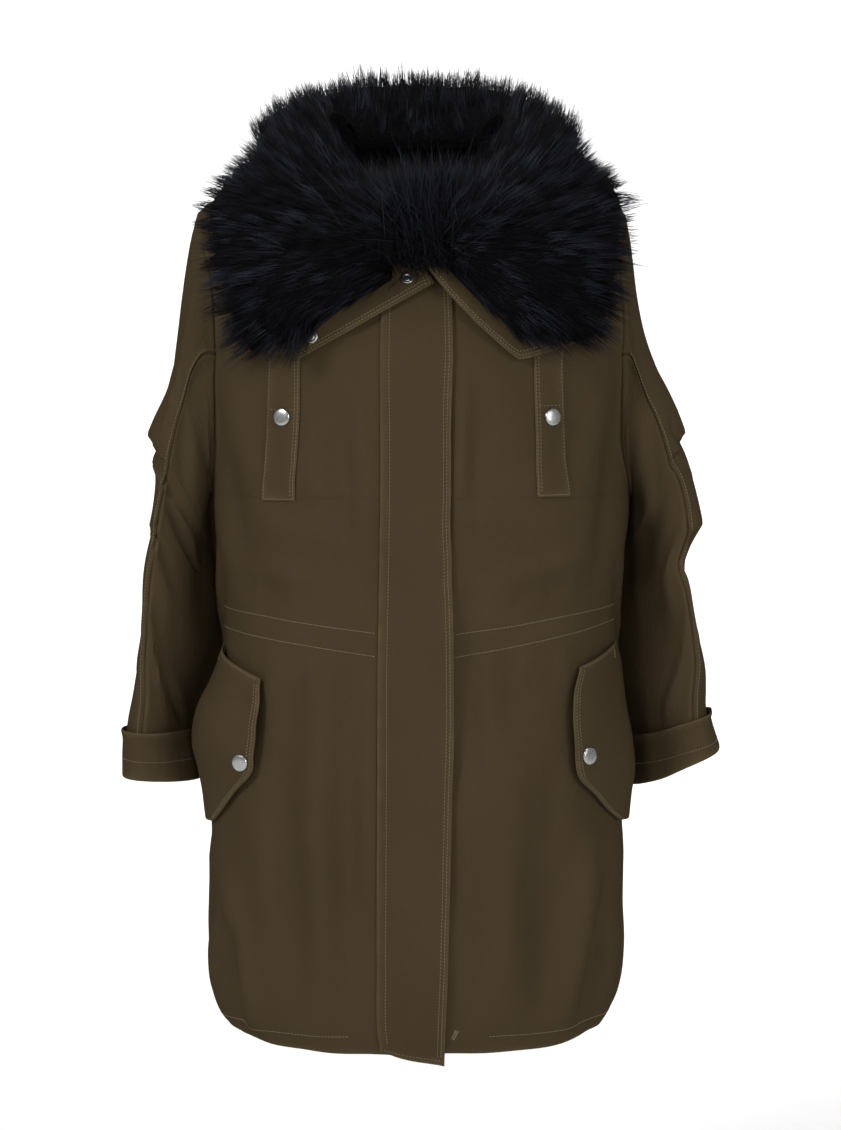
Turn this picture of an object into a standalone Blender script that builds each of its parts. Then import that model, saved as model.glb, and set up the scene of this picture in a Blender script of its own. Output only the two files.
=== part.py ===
"""A parka coat worn open at neck, cuffs and hem, with a deep fur collar folded outwards.

Metres, +Z up. The coat's front faces -Y, and the wearer's left is +X. The origin is inside the neck, where
the wearer's shoulders and neck carry the coat. Tables are in millimetres, which their readers turn to metres.
"""

import collections
import math

import bpy
import numpy as np

MM = 0.001

# Driving sizes
SHELL_WALL = 1.6 * MM  # two layers of nylon twill with a light fill
COLLAR_WALL = 2.2 * MM
PLACKET_WALL = 2.4 * MM
TAB_WALL = 2.2 * MM
FLAP_WALL = 2.2 * MM
CUFF_WALL = 2.4 * MM
SEAM_GAP = 0.3 * MM
SLEEVE_SEAM_GAP = 0.7 * MM  # a sleeve's seams bend more, around the armhole and over the elbow's folds
NECK_SEAM_GAP = 0.8 * MM
SIDE_SEAM_Y = 15 * MM
ARMHOLE_TOP = 2 * MM
ARMHOLE_BOTTOM = -279 * MM
ARMHOLE_FRONT = 68 * MM
ARMHOLE_BACK = 78 * MM
ARMHOLE_SQUARENESS = 2.3
ARMHOLE_STEPS = 10  # rows of the body between the armhole's top and bottom
NECK_LEVEL = 46 * MM
SNAP_RADIUS = 8.5 * MM
SNAP_HEIGHT = 3.2 * MM
SOCKET_RADIUS = 6.0 * MM
SOCKET_HEIGHT = 2.4 * MM

RIGHT, LEFT = -1, 1  # the wearer's sides, as signs of x

BodySection = collections.namedtuple(
    "BodySection", "side_z front_z back_z right_half left_half front back squareness"
)
BODY = (
    BodySection(-805, -817, -802, 187, 181, 137, 122, 3.0),
    BodySection(-790, -801, -788, 198, 191, 144, 127, 2.9),
    BodySection(-768, -775, -767, 206, 199, 149, 131, 2.8),
    BodySection(-735, -738, -735, 209, 203, 153, 134, 2.7),
    BodySection(-680, -680, -680, 209, 202, 155, 135, 2.6),
    BodySection(-610, -610, -610, 206, 203, 154, 133, 2.6),
    BodySection(-520, -520, -520, 200, 200, 150, 129, 2.6),
    BodySection(-432, -432, -432, 197, 198, 146, 125, 2.6),
    BodySection(-360, -360, -360, 198, 201, 148, 125, 2.5),
    BodySection(-279, -279, -279, 203, 207, 150, 127, 2.5),
    BodySection(-220, -220, -220, 206, 211, 149, 129, 2.5),
    BodySection(-160, -162, -160, 210, 215, 145, 128, 2.5),
    BodySection(-100, -116, -98, 213, 217, 135, 121, 2.5),
    BodySection(-60, -93, -56, 215, 214, 126, 112, 2.4),
    BodySection(-22, -78, -18, 217, 211, 118, 98, 2.35),
    BodySection(2, -69, 4, 214, 206, 112, 90, 2.3),
    BodySection(18, -64, 20, 190, 190, 107, 80, 2.2),
    BodySection(32, -59, 32, 138, 138, 102, 71, 2.1),
    BodySection(46, -54, 45, 88, 88, 98, 62, 2.1),
)

# Soft folds of the body, pushed out along the ground: a ridge is positive and a trough is negative.
BodyFold = collections.namedtuple("BodyFold", "around level wide tall lean depth")
BODY_FOLDS = (
    BodyFold(-62, -745, 5, 50, 0.10, -5),
    BodyFold(-74, -735, 5, 55, 0.08, 4),
    BodyFold(56, -735, 5, 55, -0.12, -5),
    BodyFold(70, -745, 6, 55, -0.08, 4),
    BodyFold(24, -560, 5, 120, -0.02, -3),
    BodyFold(-26, -350, 6, 90, 0.02, -3),
    BodyFold(38, -330, 8, 80, -0.06, 3),
    BodyFold(-40, -480, 7, 60, 0.05, 3),
    BodyFold(150, -640, 8, 130, 0.01, 4),
    BodyFold(-155, -600, 8, 140, -0.01, 4),
    BodyFold(180, -330, 7, 120, 0.0, -4),
    BodyFold(128, -320, 7, 90, 0.05, -4),
    BodyFold(-130, -300, 7, 90, -0.05, -4),
    BodyFold(-118, -760, 6, 45, 0.08, 4),
    BodyFold(116, -755, 6, 45, -0.08, 4),
)

# A sleeve's rings from the armhole to the cuff's lower edge. "outer" is the ring's highest reach away from
# the body, and "inner" its lowest point next to it. x is measured from the coat's middle; turn is in degrees.
SleeveSection = collections.namedtuple(
    "SleeveSection", "station outer_x outer_z inner_x inner_z front_y back_y turn"
)
SLEEVES = {
    RIGHT: (
        SleeveSection(0, 214, 2, 203, -279, -53, 93, 0),
        SleeveSection(1, 222, -24, 206.5, -284, -55, 95, 5),
        SleeveSection(2, 231, -74, 208, -291, -57, 97, 12),
        SleeveSection(3, 238, -125, 208, -299, -58, 100, 18),
        SleeveSection(4, 245, -165, 207, -308, -57, 102, 24),
        SleeveSection(5, 250, -195, 206, -317, -55, 102, 28),
        SleeveSection(6, 253, -217, 206, -325, -54, 102, 30),
        SleeveSection(7, 256, -227, 206, -331, -53, 102, 31),
        SleeveSection(8, 257, -253, 204, -343, -51, 102, 42),
        SleeveSection(9, 259, -280, 200, -355, -50, 102, 50),
        SleeveSection(10, 262, -306, 198, -372, -48, 102, 52),
        SleeveSection(11, 264, -316, 197, -384, -47, 102, 52),
        SleeveSection(12, 271, -352, 196, -408, -45, 102, 52),
        SleeveSection(13, 277, -395, 199, -432, -42, 102, 48),
        SleeveSection(14, 281, -436, 211, -458, -38, 101, 42),
        SleeveSection(15, 283, -476, 222, -486, -34, 100, 33),
        SleeveSection(16, 288, -512, 227, -516, -32, 100, 30),
        SleeveSection(17, 291, -560, 221, -567, -32, 101, 28),
    ),
    LEFT: (
        SleeveSection(0, 206, 2, 207, -279, -53, 93, 0),
        SleeveSection(1, 210, -26, 210.5, -284, -55, 95, 5),
        SleeveSection(2, 217, -76, 212, -291, -57, 97, 12),
        SleeveSection(3, 229, -125, 212, -299, -58, 100, 18),
        SleeveSection(4, 240, -158, 211, -308, -57, 102, 24),
        SleeveSection(5, 249, -190, 210, -317, -55, 102, 28),
        SleeveSection(6, 255, -215, 210, -325, -53, 102, 30),
        SleeveSection(7, 258, -223, 210, -331, -52, 102, 31),
        SleeveSection(8, 263, -245, 206, -343, -50, 102, 42),
        SleeveSection(9, 265, -275, 202, -356, -48, 102, 50),
        SleeveSection(10, 265, -306, 200, -372, -47, 102, 52),
        SleeveSection(11, 263, -341, 198, -390, -45, 102, 52),
        SleeveSection(12, 273, -372, 197, -412, -43, 102, 52),
        SleeveSection(13, 281, -410, 198, -436, -40, 102, 50),
        SleeveSection(14, 287, -446, 202, -462, -37, 101, 44),
        SleeveSection(15, 289, -472, 213, -492, -34, 100, 33),
        SleeveSection(16, 290, -494, 220, -524, -32, 100, 30),
        SleeveSection(17, 298, -533, 219, -576, -32, 101, 28),
    ),
}
SLEEVE_SQUARENESS = 2.2

# The elbow's folds: a point that sticks out and is undercut. "rise" and "fall" are its lengths above and
# below the tip.
ElbowFold = collections.namedtuple("ElbowFold", "side tip_z reach rise fall around focus")
ELBOW_FOLDS = (
    ElbowFold(RIGHT, -217, 14, 70, 10, 0, 3),
    ElbowFold(RIGHT, -306, 4, 40, 10, 0, 3),
    ElbowFold(LEFT, -215, 9, 60, 8, 0, 3),
    ElbowFold(LEFT, -306, 16, 80, 35, 0, 3),
)
FRONT_SEAM_COLUMN = 5
BACK_SEAM_COLUMN = 15

# The fly over the front closing: it is sewn along the wearer's right edge, and its other edge is free.
PlacketRow = collections.namedtuple("PlacketRow", "level sewn_x free_x lift")
PLACKET = (
    PlacketRow(-813, -36, 25.5, 2.0),
    PlacketRow(-795, -38.5, 26.5, 2.0),
    PlacketRow(-730, -39.5, 28, 2.5),
    PlacketRow(-600, -39.5, 32, 3.0),
    PlacketRow(-489, -39, 33.5, 3.5),
    PlacketRow(-375, -37.5, 32, 2.5),
    PlacketRow(-273, -36, 33, 2.0),
    PlacketRow(-160, -36, 33.5, 2.0),
    PlacketRow(-100, -35, 33, 1.5),
    PlacketRow(-70, -34, 32, 1.0),
)

PLACKET_LEVELS = (-813, -795, -770, -735, -690, -640, -590, -540, -490, -440, -390, -340, -290, -240, -190,
                  -155, -130, -110, -92, -80, -70)
FLY_GAP = 0.5 * MM
SEAM_PADDING = 0.8 * MM  # how far the turned-in seam allowances hold the fly's middle off the fronts
PLACKET_SLANT = 15 * MM  # how much lower the free corner hangs than the sewn one

TabRow = collections.namedtuple("TabRow", "level outer_x inner_x")
TABS = {
    RIGHT: (
        TabRow(-281, -148.5, -117),
        TabRow(-205, -144.5, -113),
        TabRow(-134, -141, -112.5),
    ),
    LEFT: (
        TabRow(-277, 143, 111.5),
        TabRow(-201, 140.5, 111),
        TabRow(-132, 137.5, 111),
    ),
}
SNAP_ON_TAB = {RIGHT: (-128.5, -201), LEFT: (127.5, -201)}

# A pocket flap: from its free front edge to the edge sewn behind the side, with how far each row bulges.
FlapRow = collections.namedtuple("FlapRow", "down free_x free_z sewn_around sewn_z bulge free_lift")
FLAPS = {
    RIGHT: (
        FlapRow(0, -147, -454, 80, -427, 4, 3),
        FlapRow(1, -145, -476, 92, -448, 10, 7),
        FlapRow(2, -149, -502, 99, -486, 21, 9),
        FlapRow(3, -154, -528, 101, -522, 21, 8),
        FlapRow(4, -158, -547, 100, -550, 13, 6),
        FlapRow(5, -177, -569, 96, -577, 6.5, 4),
        FlapRow(6, -196, -599, 92, -603, 2.5, 2),
    ),
    LEFT: (
        FlapRow(0, 152, -442, 78, -423, 2, 3),
        FlapRow(1, 144, -468, 88, -450, 3, 7),
        FlapRow(2, 143, -494, 95, -484, 6, 9),
        FlapRow(3, 146, -520, 99, -520, 12, 8),
        FlapRow(4, 151, -548, 100, -552, 13, 6),
        FlapRow(5, 172, -570, 96, -579, 7.5, 4),
        FlapRow(6, 194, -598, 92, -603, 3, 3),
    ),
}
FLAP_COLUMNS = 9
SNAP_ON_FLAP = {RIGHT: (0.09, 3.4), LEFT: (0.1, 3.3)}

# The collar: its seam runs along the neckline at "around" degrees from the front, and it stands up and folds
# over. Its wing's lower edge is nearly straight in front, from the middle to the tip. Behind the tip its free
# edge lies at edge_around, edge_level. "lift" is how far it stands off the body, and the pile columns are the
# fur's lengths.
CollarSection = collections.namedtuple(
    "CollarSection", "around stand edge_around edge_level lift margin pile_in pile_top pile_out overhang"
)
COLLAR = {
    RIGHT: (
        CollarSection(1, 16, 0, 0, 6, 20, 24, 62, 26, 1),
        CollarSection(12, 19, 0, 0, 6, 24, 28, 62, 30, 3),
        CollarSection(24, 22, 0, 0, 5, 27, 32, 60, 36, 4),
        CollarSection(36, 22, 0, 0, 5, 27, 34, 57, 42, 5),
        CollarSection(48, 24, 40, -127, 7, 10, 36, 50, 42, 32),
        CollarSection(60, 26, 47, -102, 7, 8, 36, 43, 28, 24),
        CollarSection(75, 28, 57, -46, 8, 8, 36, 36, 14, 6),
        CollarSection(84, 30, 60, -14, 8, 8, 36, 39, 13, 4),
        CollarSection(95, 32, 73, 16, 7, 8, 36, 42, 13, 3),
        CollarSection(110, 36, 96, 24, 7, 8, 36, 45, 20, 4),
        CollarSection(125, 41, 121, 20, 7, 8, 36, 49, 27, 6),
        CollarSection(152, 53, 152, 6, 7, 8, 36, 50, 36, 12),
        CollarSection(180, 58, 180, 0, 7, 8, 36, 48, 40, 12),
    ),
    LEFT: (
        CollarSection(1, 26, 0, 0, 20, 12, 24, 60, 26, 1),
        CollarSection(12, 24, 0, 0, 15, 22, 28, 62, 30, 3),
        CollarSection(24, 22, 0, 0, 10, 26, 32, 60, 36, 4),
        CollarSection(36, 22, 0, 0, 6, 26, 34, 57, 42, 5),
        CollarSection(48, 24, 41, -123, 7, 10, 36, 50, 40, 20),
        CollarSection(60, 26, 48, -92, 7, 8, 36, 42, 28, 18),
        CollarSection(75, 28, 57, -44, 8, 8, 36, 36, 14, 6),
        CollarSection(84, 30, 61, -12, 8, 8, 36, 39, 13, 4),
        CollarSection(95, 32, 74, 16, 7, 8, 36, 42, 13, 3),
        CollarSection(110, 36, 96, 24, 7, 8, 36, 45, 20, 4),
        CollarSection(125, 41, 121, 20, 7, 8, 36, 49, 27, 6),
        CollarSection(152, 53, 152, 6, 7, 8, 36, 50, 36, 12),
        CollarSection(180, 58, 180, 0, 7, 8, 36, 48, 40, 12),
    ),
}
CollarWing = collections.namedtuple("CollarWing", "start_x start_z tip_x tip_z bow tip_around")
COLLAR_WINGS = {
    RIGHT: CollarWing(15, -76, -113, -147, 0, 38),
    LEFT: CollarWing(-2, -55, 96, -148, 6, 38),
}
COLLAR_START = {RIGHT: 3.5, LEFT: 8}  # degrees from the middle at which each half's seam begins
COLLAR_ANGLES = (1, 7, 13, 19, 25, 31.5, 38, 46, 55, 64, 73, 80, 86, 92, 100, 112, 126, 142, 160, 180)
CollarFold = collections.namedtuple("CollarFold", "up out more_out")
COLLAR_FOLD = (  # shares of the stand's height, and millimetres added outwards
    CollarFold(0.6, 0.06, 0),
    CollarFold(1.0, 0.22, 2),
    CollarFold(0.86, 0.5, 5),
)
LEAF_PLACES = ((0.55, 5), (0.9, 3))  # shares of the way to the edge, and how much higher the leaf is there
COLLAR_SHARES = (0, 0.14, 0.27, 0.38, 0.49, 0.62, 0.8, 1)  # rows from the seam to the fur's edge
FUR_FIRST_ROW = 1
FUR_LAST_ROW = 7
FUR_CLEARANCE = 1.2 * MM
FIRST_CLEARANCES = (4 * MM, 2 * MM)
FUR_FIRST_COLUMN = 2  # the fur's ends are set back from the wings' front edges
FUR_END_LIFT = 11 * MM  # over the bare end of the collar
FUR_END_LENGTH = 0.8
FUR_END_REACH = {RIGHT: -5 * MM, LEFT: 1.5 * MM}  # how near to the coat's middle each end's pile comes
PILE_PLACES = (0, 0.4, 0.75, 1)  # shares of the way from the pile's first row to its last
PILE_LEANS = ((0, -0.25), (0.4, 0), (1, 0.25))  # how far the pile leans onward at such shares
LAST_PILE = 0.5  # the last row's pile, as a share of the outer pile
INNER_PILE = 0.45
FRINGE_LIFT = 5 * MM
FRINGE_RISE = 0.2

CLOTH_COLOUR = (0.052, 0.038, 0.020, 1.0)
FUR_COLOUR = (0.006, 0.006, 0.008, 1.0)
METAL_COLOUR = (0.75, 0.75, 0.74, 1.0)


class Smooth:
    """Smooth curves through the rows of a table, read at any value of its first column."""

    def __init__(self, rows, unit=MM, key_unit=MM):
        self.row_type = type(rows[0])
        table = np.array(rows, float)
        self.keys = table[:, 0] * key_unit
        self.values = table[:, 1:] * unit
        self.slopes = np.gradient(self.values, self.keys, axis=0)

    def at(self, key):
        key = min(max(key, self.keys[0]), self.keys[-1])
        i = int(min(max(np.searchsorted(self.keys, key) - 1, 0), len(self.keys) - 2))
        span = self.keys[i + 1] - self.keys[i]
        t = (key - self.keys[i]) / span
        a, b = self.values[i], self.values[i + 1]
        slope_a, slope_b = self.slopes[i] * span, self.slopes[i + 1] * span
        value = (
            (2 * t**3 - 3 * t**2 + 1) * a
            + (t**3 - 2 * t**2 + t) * slope_a
            + (3 * t**2 - 2 * t**3) * b
            + (t**3 - t**2) * slope_b
        )
        return self.row_type(key, *value)


BODY_CURVE = Smooth(BODY)
SLEEVE_CURVES = {side: Smooth(rows, key_unit=1) for side, rows in SLEEVES.items()}
PLACKET_CURVE = Smooth(PLACKET)
TAB_CURVES = {side: Smooth(rows) for side, rows in TABS.items()}
FLAP_CURVES = {side: Smooth(rows, unit=1, key_unit=1) for side, rows in FLAPS.items()}
COLLAR_CURVES = {side: Smooth(rows, unit=1, key_unit=1) for side, rows in COLLAR.items()}


def unit(vectors):
    length = np.linalg.norm(vectors, axis=-1, keepdims=True)
    return vectors / np.maximum(length, 1e-12)


def signed_power(value, exponent):
    return np.sign(value) * np.abs(value) ** exponent


# The body


def body_points(level, around):
    """Points of the coat's outer face on one level, at angles from the front (0) to the back (pi)."""
    around = np.asarray(around, float)
    row = BODY_CURVE.at(level)
    exponent = 2 / (row.squareness / MM)
    sine, cosine = np.sin(around), np.cos(around)
    half = np.where(sine > 0, row.left_half, row.right_half)
    depth = np.where(cosine > 0, row.front, row.back)
    end_z = np.where(cosine > 0, row.front_z, row.back_z)
    x = half * signed_power(sine, exponent)
    y = SIDE_SEAM_Y - depth * signed_power(cosine, exponent)
    z = row.side_z + (end_z - row.side_z) * cosine**2
    push = np.zeros_like(x)
    for fold in BODY_FOLDS:
        from_middle = level / MM - fold.level
        middle = fold.around + fold.lean * from_middle
        apart = (np.degrees(around) - middle + 180) % 360 - 180
        push += fold.depth * MM * np.exp(-((apart / fold.wide) ** 2) - (from_middle / fold.tall) ** 2)
    out = unit(np.stack([x, y - SIDE_SEAM_Y, np.zeros_like(x)], axis=-1))
    return np.stack([x, y, z], axis=-1) + out * push[..., None]


def body_normal(level, around):
    """The outward normals at the same points."""
    around = np.asarray(around, float)
    step = 0.02
    level_step = 2 * MM
    across = body_points(level, around + step) - body_points(level, around - step)
    up = body_points(level + level_step, around) - body_points(level - level_step, around)
    return unit(np.cross(across, up))


def front_at(x, z):
    """The level and angle of the front's point that has this x and z."""
    level, around = z, 0.0
    for _ in range(30):
        row = BODY_CURVE.at(level)
        half = row.left_half if x > 0 else row.right_half
        around = math.copysign(math.asin(min(1.0, (abs(x) / half) ** (row.squareness / MM / 2))), x)
        level = level + 0.7 * (z - body_points(level, around)[2])
        level = min(level, NECK_LEVEL)
    return level, around


def armhole_value(point):
    """Below 0 inside the armhole's outline, as seen from the side."""
    middle = (ARMHOLE_TOP + ARMHOLE_BOTTOM) / 2
    half_height = (ARMHOLE_TOP - ARMHOLE_BOTTOM) / 2
    half_depth = ARMHOLE_FRONT if point[1] < SIDE_SEAM_Y else ARMHOLE_BACK
    forward = abs(point[1] - SIDE_SEAM_Y) / half_depth
    upward = abs(point[2] - middle) / half_height
    return forward**ARMHOLE_SQUARENESS + upward**ARMHOLE_SQUARENESS - 1


def edge_angle(level, side, is_front):
    """Where a level's front or back ends: at the side or shoulder seam, or at the armhole."""
    seam = side * math.pi / 2
    centre = 0.0 if is_front else side * math.pi
    if armhole_value(body_points(level, seam)) >= -1e-6:
        return seam
    outside, inside = centre, seam
    for _ in range(40):
        middle = (outside + inside) / 2
        if armhole_value(body_points(level, middle)) > 0:
            outside = middle
        else:
            inside = middle
    return (outside + inside) / 2


def armhole_levels():
    """The body's levels from the armhole's bottom to its top, evenly spread around its outline."""
    middle = (ARMHOLE_TOP + ARMHOLE_BOTTOM) / 2
    half_height = (ARMHOLE_TOP - ARMHOLE_BOTTOM) / 2
    angles = [math.pi * (1 - i / ARMHOLE_STEPS) for i in range(ARMHOLE_STEPS + 1)]
    return [
        middle + half_height * float(signed_power(math.cos(a), 2 / ARMHOLE_SQUARENESS)) for a in angles
    ]


LOWER_LEVELS = [
    z * MM
    for z in (-805, -798, -788, -774, -752, -725, -692, -658, -622, -585, -550, -515, -480, -450, -420, -390,
              -360, -330, -303)
]
SHOULDER_LEVELS = [z * MM for z in (9, 16, 25, 35, 46)]


def body_levels():
    return LOWER_LEVELS + armhole_levels() + SHOULDER_LEVELS


def even_angles(level, start, end, steps):
    """Angles from start to end that are evenly spaced along the cloth."""
    fine = np.linspace(start, end, 120)
    points = body_points(level, fine)
    along = np.concatenate([[0], np.cumsum(np.linalg.norm(np.diff(points, axis=0), axis=1))])
    return np.interp(np.linspace(0, along[-1], steps + 1), along, fine)


def drawn_in_angle(level, angle, inwards):
    """An edge's angle, moved half a seam gap along the cloth."""
    step = 0.01
    length = float(np.linalg.norm(body_points(level, angle + step) - body_points(level, angle - step)))
    return angle + inwards * (SEAM_GAP / 2) * 2 * step / length


PANEL_BREAK = math.radians(50)  # inside this angle from a panel's middle its columns run straight down
BREAK_STEPS, EDGE_STEPS = 6, 3


# Meshes


def material(name, colour, roughness, metallic=0.0):
    made = bpy.data.materials.get(name)
    if made is None:
        made = bpy.data.materials.new(name)
        made.use_nodes = True
        shader = made.node_tree.nodes["Principled BSDF"]
        shader.inputs["Base Color"].default_value = colour
        shader.inputs["Roughness"].default_value = roughness
        shader.inputs["Metallic"].default_value = metallic
        made.diffuse_color = colour
    return made


def cloth():
    return material("olive_twill", CLOTH_COLOUR, 0.6)


def fur():
    return material("black_fur", FUR_COLOUR, 0.8)


def metal():
    return material("snap_metal", METAL_COLOUR, 0.3, 1.0)


def collection():
    found = bpy.data.collections.get("parka_coat")
    if found is None:
        found = bpy.data.collections.new("parka_coat")
        bpy.context.scene.collection.children.link(found)
    return found


def add_mesh(name, points, faces, finish):
    """One closed object, with its faces turned outwards."""
    points = np.asarray(points, float)
    volume = 0.0
    for face in faces:
        for i in range(1, len(face) - 1):
            a, b, c = points[face[0]], points[face[i]], points[face[i + 1]]
            volume += float(np.dot(a, np.cross(b, c)))
    if volume < 0:
        faces = [(face[0], *reversed(face[1:])) for face in faces]
    mesh = bpy.data.meshes.new(name)
    mesh.from_pydata([tuple(p) for p in points], [], faces)
    mesh.materials.append(finish)
    mesh.shade_smooth()
    made = bpy.data.objects.new(name, mesh)
    collection().objects.link(made)
    return made


def wall(name, outer, inner, finish, is_tube=False):
    """A cloth wall between two grids of rows and columns. A tube's last column meets its first."""
    rows, columns = outer.shape[:2]
    points = np.concatenate([outer.reshape(-1, 3), inner.reshape(-1, 3)])
    count = rows * columns

    def at(row, column, is_inner):
        return row * columns + column % columns + (count if is_inner else 0)

    faces = []
    last = columns if is_tube else columns - 1
    for row in range(rows - 1):
        for column in range(last):
            corners = ((row, column), (row, column + 1), (row + 1, column + 1), (row + 1, column))
            faces.append(tuple(at(r, c, False) for r, c in corners))
            faces.append(tuple(at(r, c, True) for r, c in (corners[0], *corners[:0:-1])))
    for column in range(last):
        for row, is_first in ((0, True), (rows - 1, False)):
            rim = (
                at(row, column, True),
                at(row, column + 1, True),
                at(row, column + 1, False),
                at(row, column, False),
            )
            faces.append(rim if is_first else tuple(reversed(rim)))
    if not is_tube:
        for row in range(rows - 1):
            for column, is_first in ((0, True), (columns - 1, False)):
                rim = (
                    at(row, column, False),
                    at(row + 1, column, False),
                    at(row + 1, column, True),
                    at(row, column, True),
                )
                faces.append(rim if is_first else tuple(reversed(rim)))
    return add_mesh(name, points, faces, finish)


def loft(name, loops, cap, finish):
    """A solid through closed loops of points. The cap is the faces that fill one loop."""
    count, size = loops.shape[:2]
    faces = [tuple(reversed(face)) for face in cap]
    faces += [tuple((count - 1) * size + i for i in face) for face in cap]
    for row in range(count - 1):
        for i in range(size):
            j = (i + 1) % size
            faces.append(
                (row * size + i, row * size + j, (row + 1) * size + j, (row + 1) * size + i)
            )
    return add_mesh(name, loops.reshape(-1, 3), faces, finish)


def turned(name, profile, place, axis, finish, steps=16):
    """A round piece turned about an axis. Its profile runs from the top of the axis down the outside."""
    mesh = bpy.data.meshes.new(name)
    edges = [(i, i + 1) for i in range(len(profile) - 1)]
    mesh.from_pydata([(r, 0.0, h) for r, h in profile], edges, [])
    mesh.materials.append(finish)
    made = bpy.data.objects.new(name, mesh)
    collection().objects.link(made)
    screw = made.modifiers.new("turn", "SCREW")
    screw.steps = steps
    screw.render_steps = steps
    screw.use_merge_vertices = True
    screw.merge_threshold = 1e-5
    upright = np.array([0.0, 0.0, 1.0])
    turn_axis = np.cross(upright, axis)
    angle = math.acos(float(np.clip(np.dot(upright, axis), -1, 1)))
    made.rotation_mode = "AXIS_ANGLE"
    made.rotation_axis_angle = (angle, *unit(turn_axis))
    made.location = tuple(place)
    return made


# Sleeves


def sleeve_rings(side, station, angles):
    """One ring of a sleeve. Its angle runs from the outermost point (0) over the front (pi/2)."""
    row = SLEEVE_CURVES[side].at(station)
    outer = np.array([side * row.outer_x, 0.0, row.outer_z])
    inner = np.array([side * row.inner_x, 0.0, row.inner_z])
    exponent = 2 / SLEEVE_SQUARENESS
    turn = math.radians(row.turn / MM)
    reach = signed_power(np.cos(angles - turn), exponent)
    middle_y = (row.front_y + row.back_y) / 2
    half_depth = (row.back_y - row.front_y) / 2
    points = (outer + inner) / 2 + reach[:, None] * (outer - inner) / 2
    points[:, 1] = middle_y - half_depth * signed_power(np.sin(angles), exponent)
    for fold in ELBOW_FOLDS:
        if fold.side != side:
            continue
        above = row.outer_z / MM - fold.tip_z
        shape = 1 - above / fold.rise if above > 0 else 1 + above / fold.fall
        facing = np.maximum(np.cos(angles - turn - math.radians(fold.around)), 0) ** fold.focus
        points[:, 0] += side * fold.reach * MM * max(shape, 0.0) * facing
    return points


def armhole_loop(side):
    """The armhole's points, angles and body normals: from the shoulder down the front and up the back."""
    levels = armhole_levels()
    places = [(levels[-1], True)]
    places += [(level, True) for level in levels[-2:0:-1]]
    places += [(levels[0], True)]
    places += [(level, False) for level in levels[1:-1]]
    points, normals, angles = [], [], []
    middle = (ARMHOLE_TOP + ARMHOLE_BOTTOM) / 2
    half_height = (ARMHOLE_TOP - ARMHOLE_BOTTOM) / 2
    for level, is_front in places:
        around = edge_angle(level, side, is_front)
        point = body_points(level, around)
        half_depth = ARMHOLE_FRONT if is_front else ARMHOLE_BACK
        upward = signed_power((point[2] - middle) / half_height, ARMHOLE_SQUARENESS / 2)
        forward = signed_power((SIDE_SEAM_Y - point[1]) / half_depth, ARMHOLE_SQUARENESS / 2)
        points.append(point)
        normals.append(body_normal(level, around))
        angles.append(math.atan2(forward, upward) % (2 * math.pi))
    return np.array(points), np.array(normals), np.array(angles)


SLEEVE_ROWS = [0, 0.4, 1, 2, 3, 4, 5, 5.6, 6, 6.5, 7, 8, 9, 10, 10.5, 11, 12, 13, 14, 15, 16, 16.94]
CUFF_ROWS = [16.0, 16.4, 16.7, 17.0]


def sleeve_grid(side, stations):
    """Outer points and normals of a sleeve's rings, starting exactly on the armhole."""
    loop, _, angles = armhole_loop(side)
    first = sleeve_rings(side, 0, angles)
    grid = []
    for station in stations:
        fade = max(0.0, 1 - station / 3) ** 2
        grid.append(sleeve_rings(side, station, angles) + (loop - first) * fade)
    grid = np.array(grid)
    around = np.roll(grid, -1, axis=1) - np.roll(grid, 1, axis=1)
    along = np.gradient(grid, axis=0)
    normals = unit(np.cross(around, along))
    middle = grid.mean(axis=1, keepdims=True)
    if np.sum((grid - middle) * normals) < 0:
        normals = -normals
    return grid, normals


def seam_normals(side):
    """Where the walls' ends point along the armhole: halfway between the body's and the sleeve's."""
    _, body, _ = armhole_loop(side)
    _, sleeve = sleeve_grid(side, SLEEVE_ROWS)
    return unit(body + sleeve[0])


def draw_in(outer, inner, column, towards):
    """Moves a boundary column of both faces half a seam gap towards its neighbour."""
    step = unit(outer[:, towards] - outer[:, column]) * SLEEVE_SEAM_GAP / 2
    outer[:, column] += step
    inner[:, column] += step


def make_sleeve(side, word):
    grid, normals = sleeve_grid(side, SLEEVE_ROWS)
    normals[0] = seam_normals(side)
    grid[0] += unit(grid[1] - grid[0]) * SLEEVE_SEAM_GAP
    inner = grid - normals * SHELL_WALL
    total = grid.shape[1]
    under = list(range(FRONT_SEAM_COLUMN, BACK_SEAM_COLUMN + 1))
    over = [c % total for c in range(BACK_SEAM_COLUMN, total + FRONT_SEAM_COLUMN + 1)]
    for name, columns in (("sleeve_under", under), ("sleeve_top", over)):
        outer_part, inner_part = grid[:, columns].copy(), inner[:, columns].copy()
        draw_in(outer_part, inner_part, 0, 1)
        draw_in(outer_part, inner_part, -1, -2)
        wall(f"{name}_{word}", outer_part, inner_part, cloth())


def make_cuff(side, word):
    grid, normals = sleeve_grid(side, CUFF_ROWS)
    flare = np.linspace(0.0, 1.5 * MM, len(CUFF_ROWS))[:, None, None]
    inner = grid + normals * (SEAM_GAP + flare)
    outer = grid + normals * (SEAM_GAP + flare + CUFF_WALL)
    wall(f"cuff_{word}", outer, inner, cloth(), is_tube=True)


# Body panels


def half_panel(level, side, is_front):
    """A level's angles from the middle of the front or back to the wearer's left or right edge."""
    middle = 0.0 if is_front else side * math.pi
    towards = side if is_front else -side
    seam_break = middle + towards * PANEL_BREAK
    edge = drawn_in_angle(level, edge_angle(level, side, is_front), -towards)
    inner = even_angles(level, middle, seam_break, BREAK_STEPS)
    return np.concatenate([inner, even_angles(level, seam_break, edge, EDGE_STEPS)[1:]])


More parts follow.
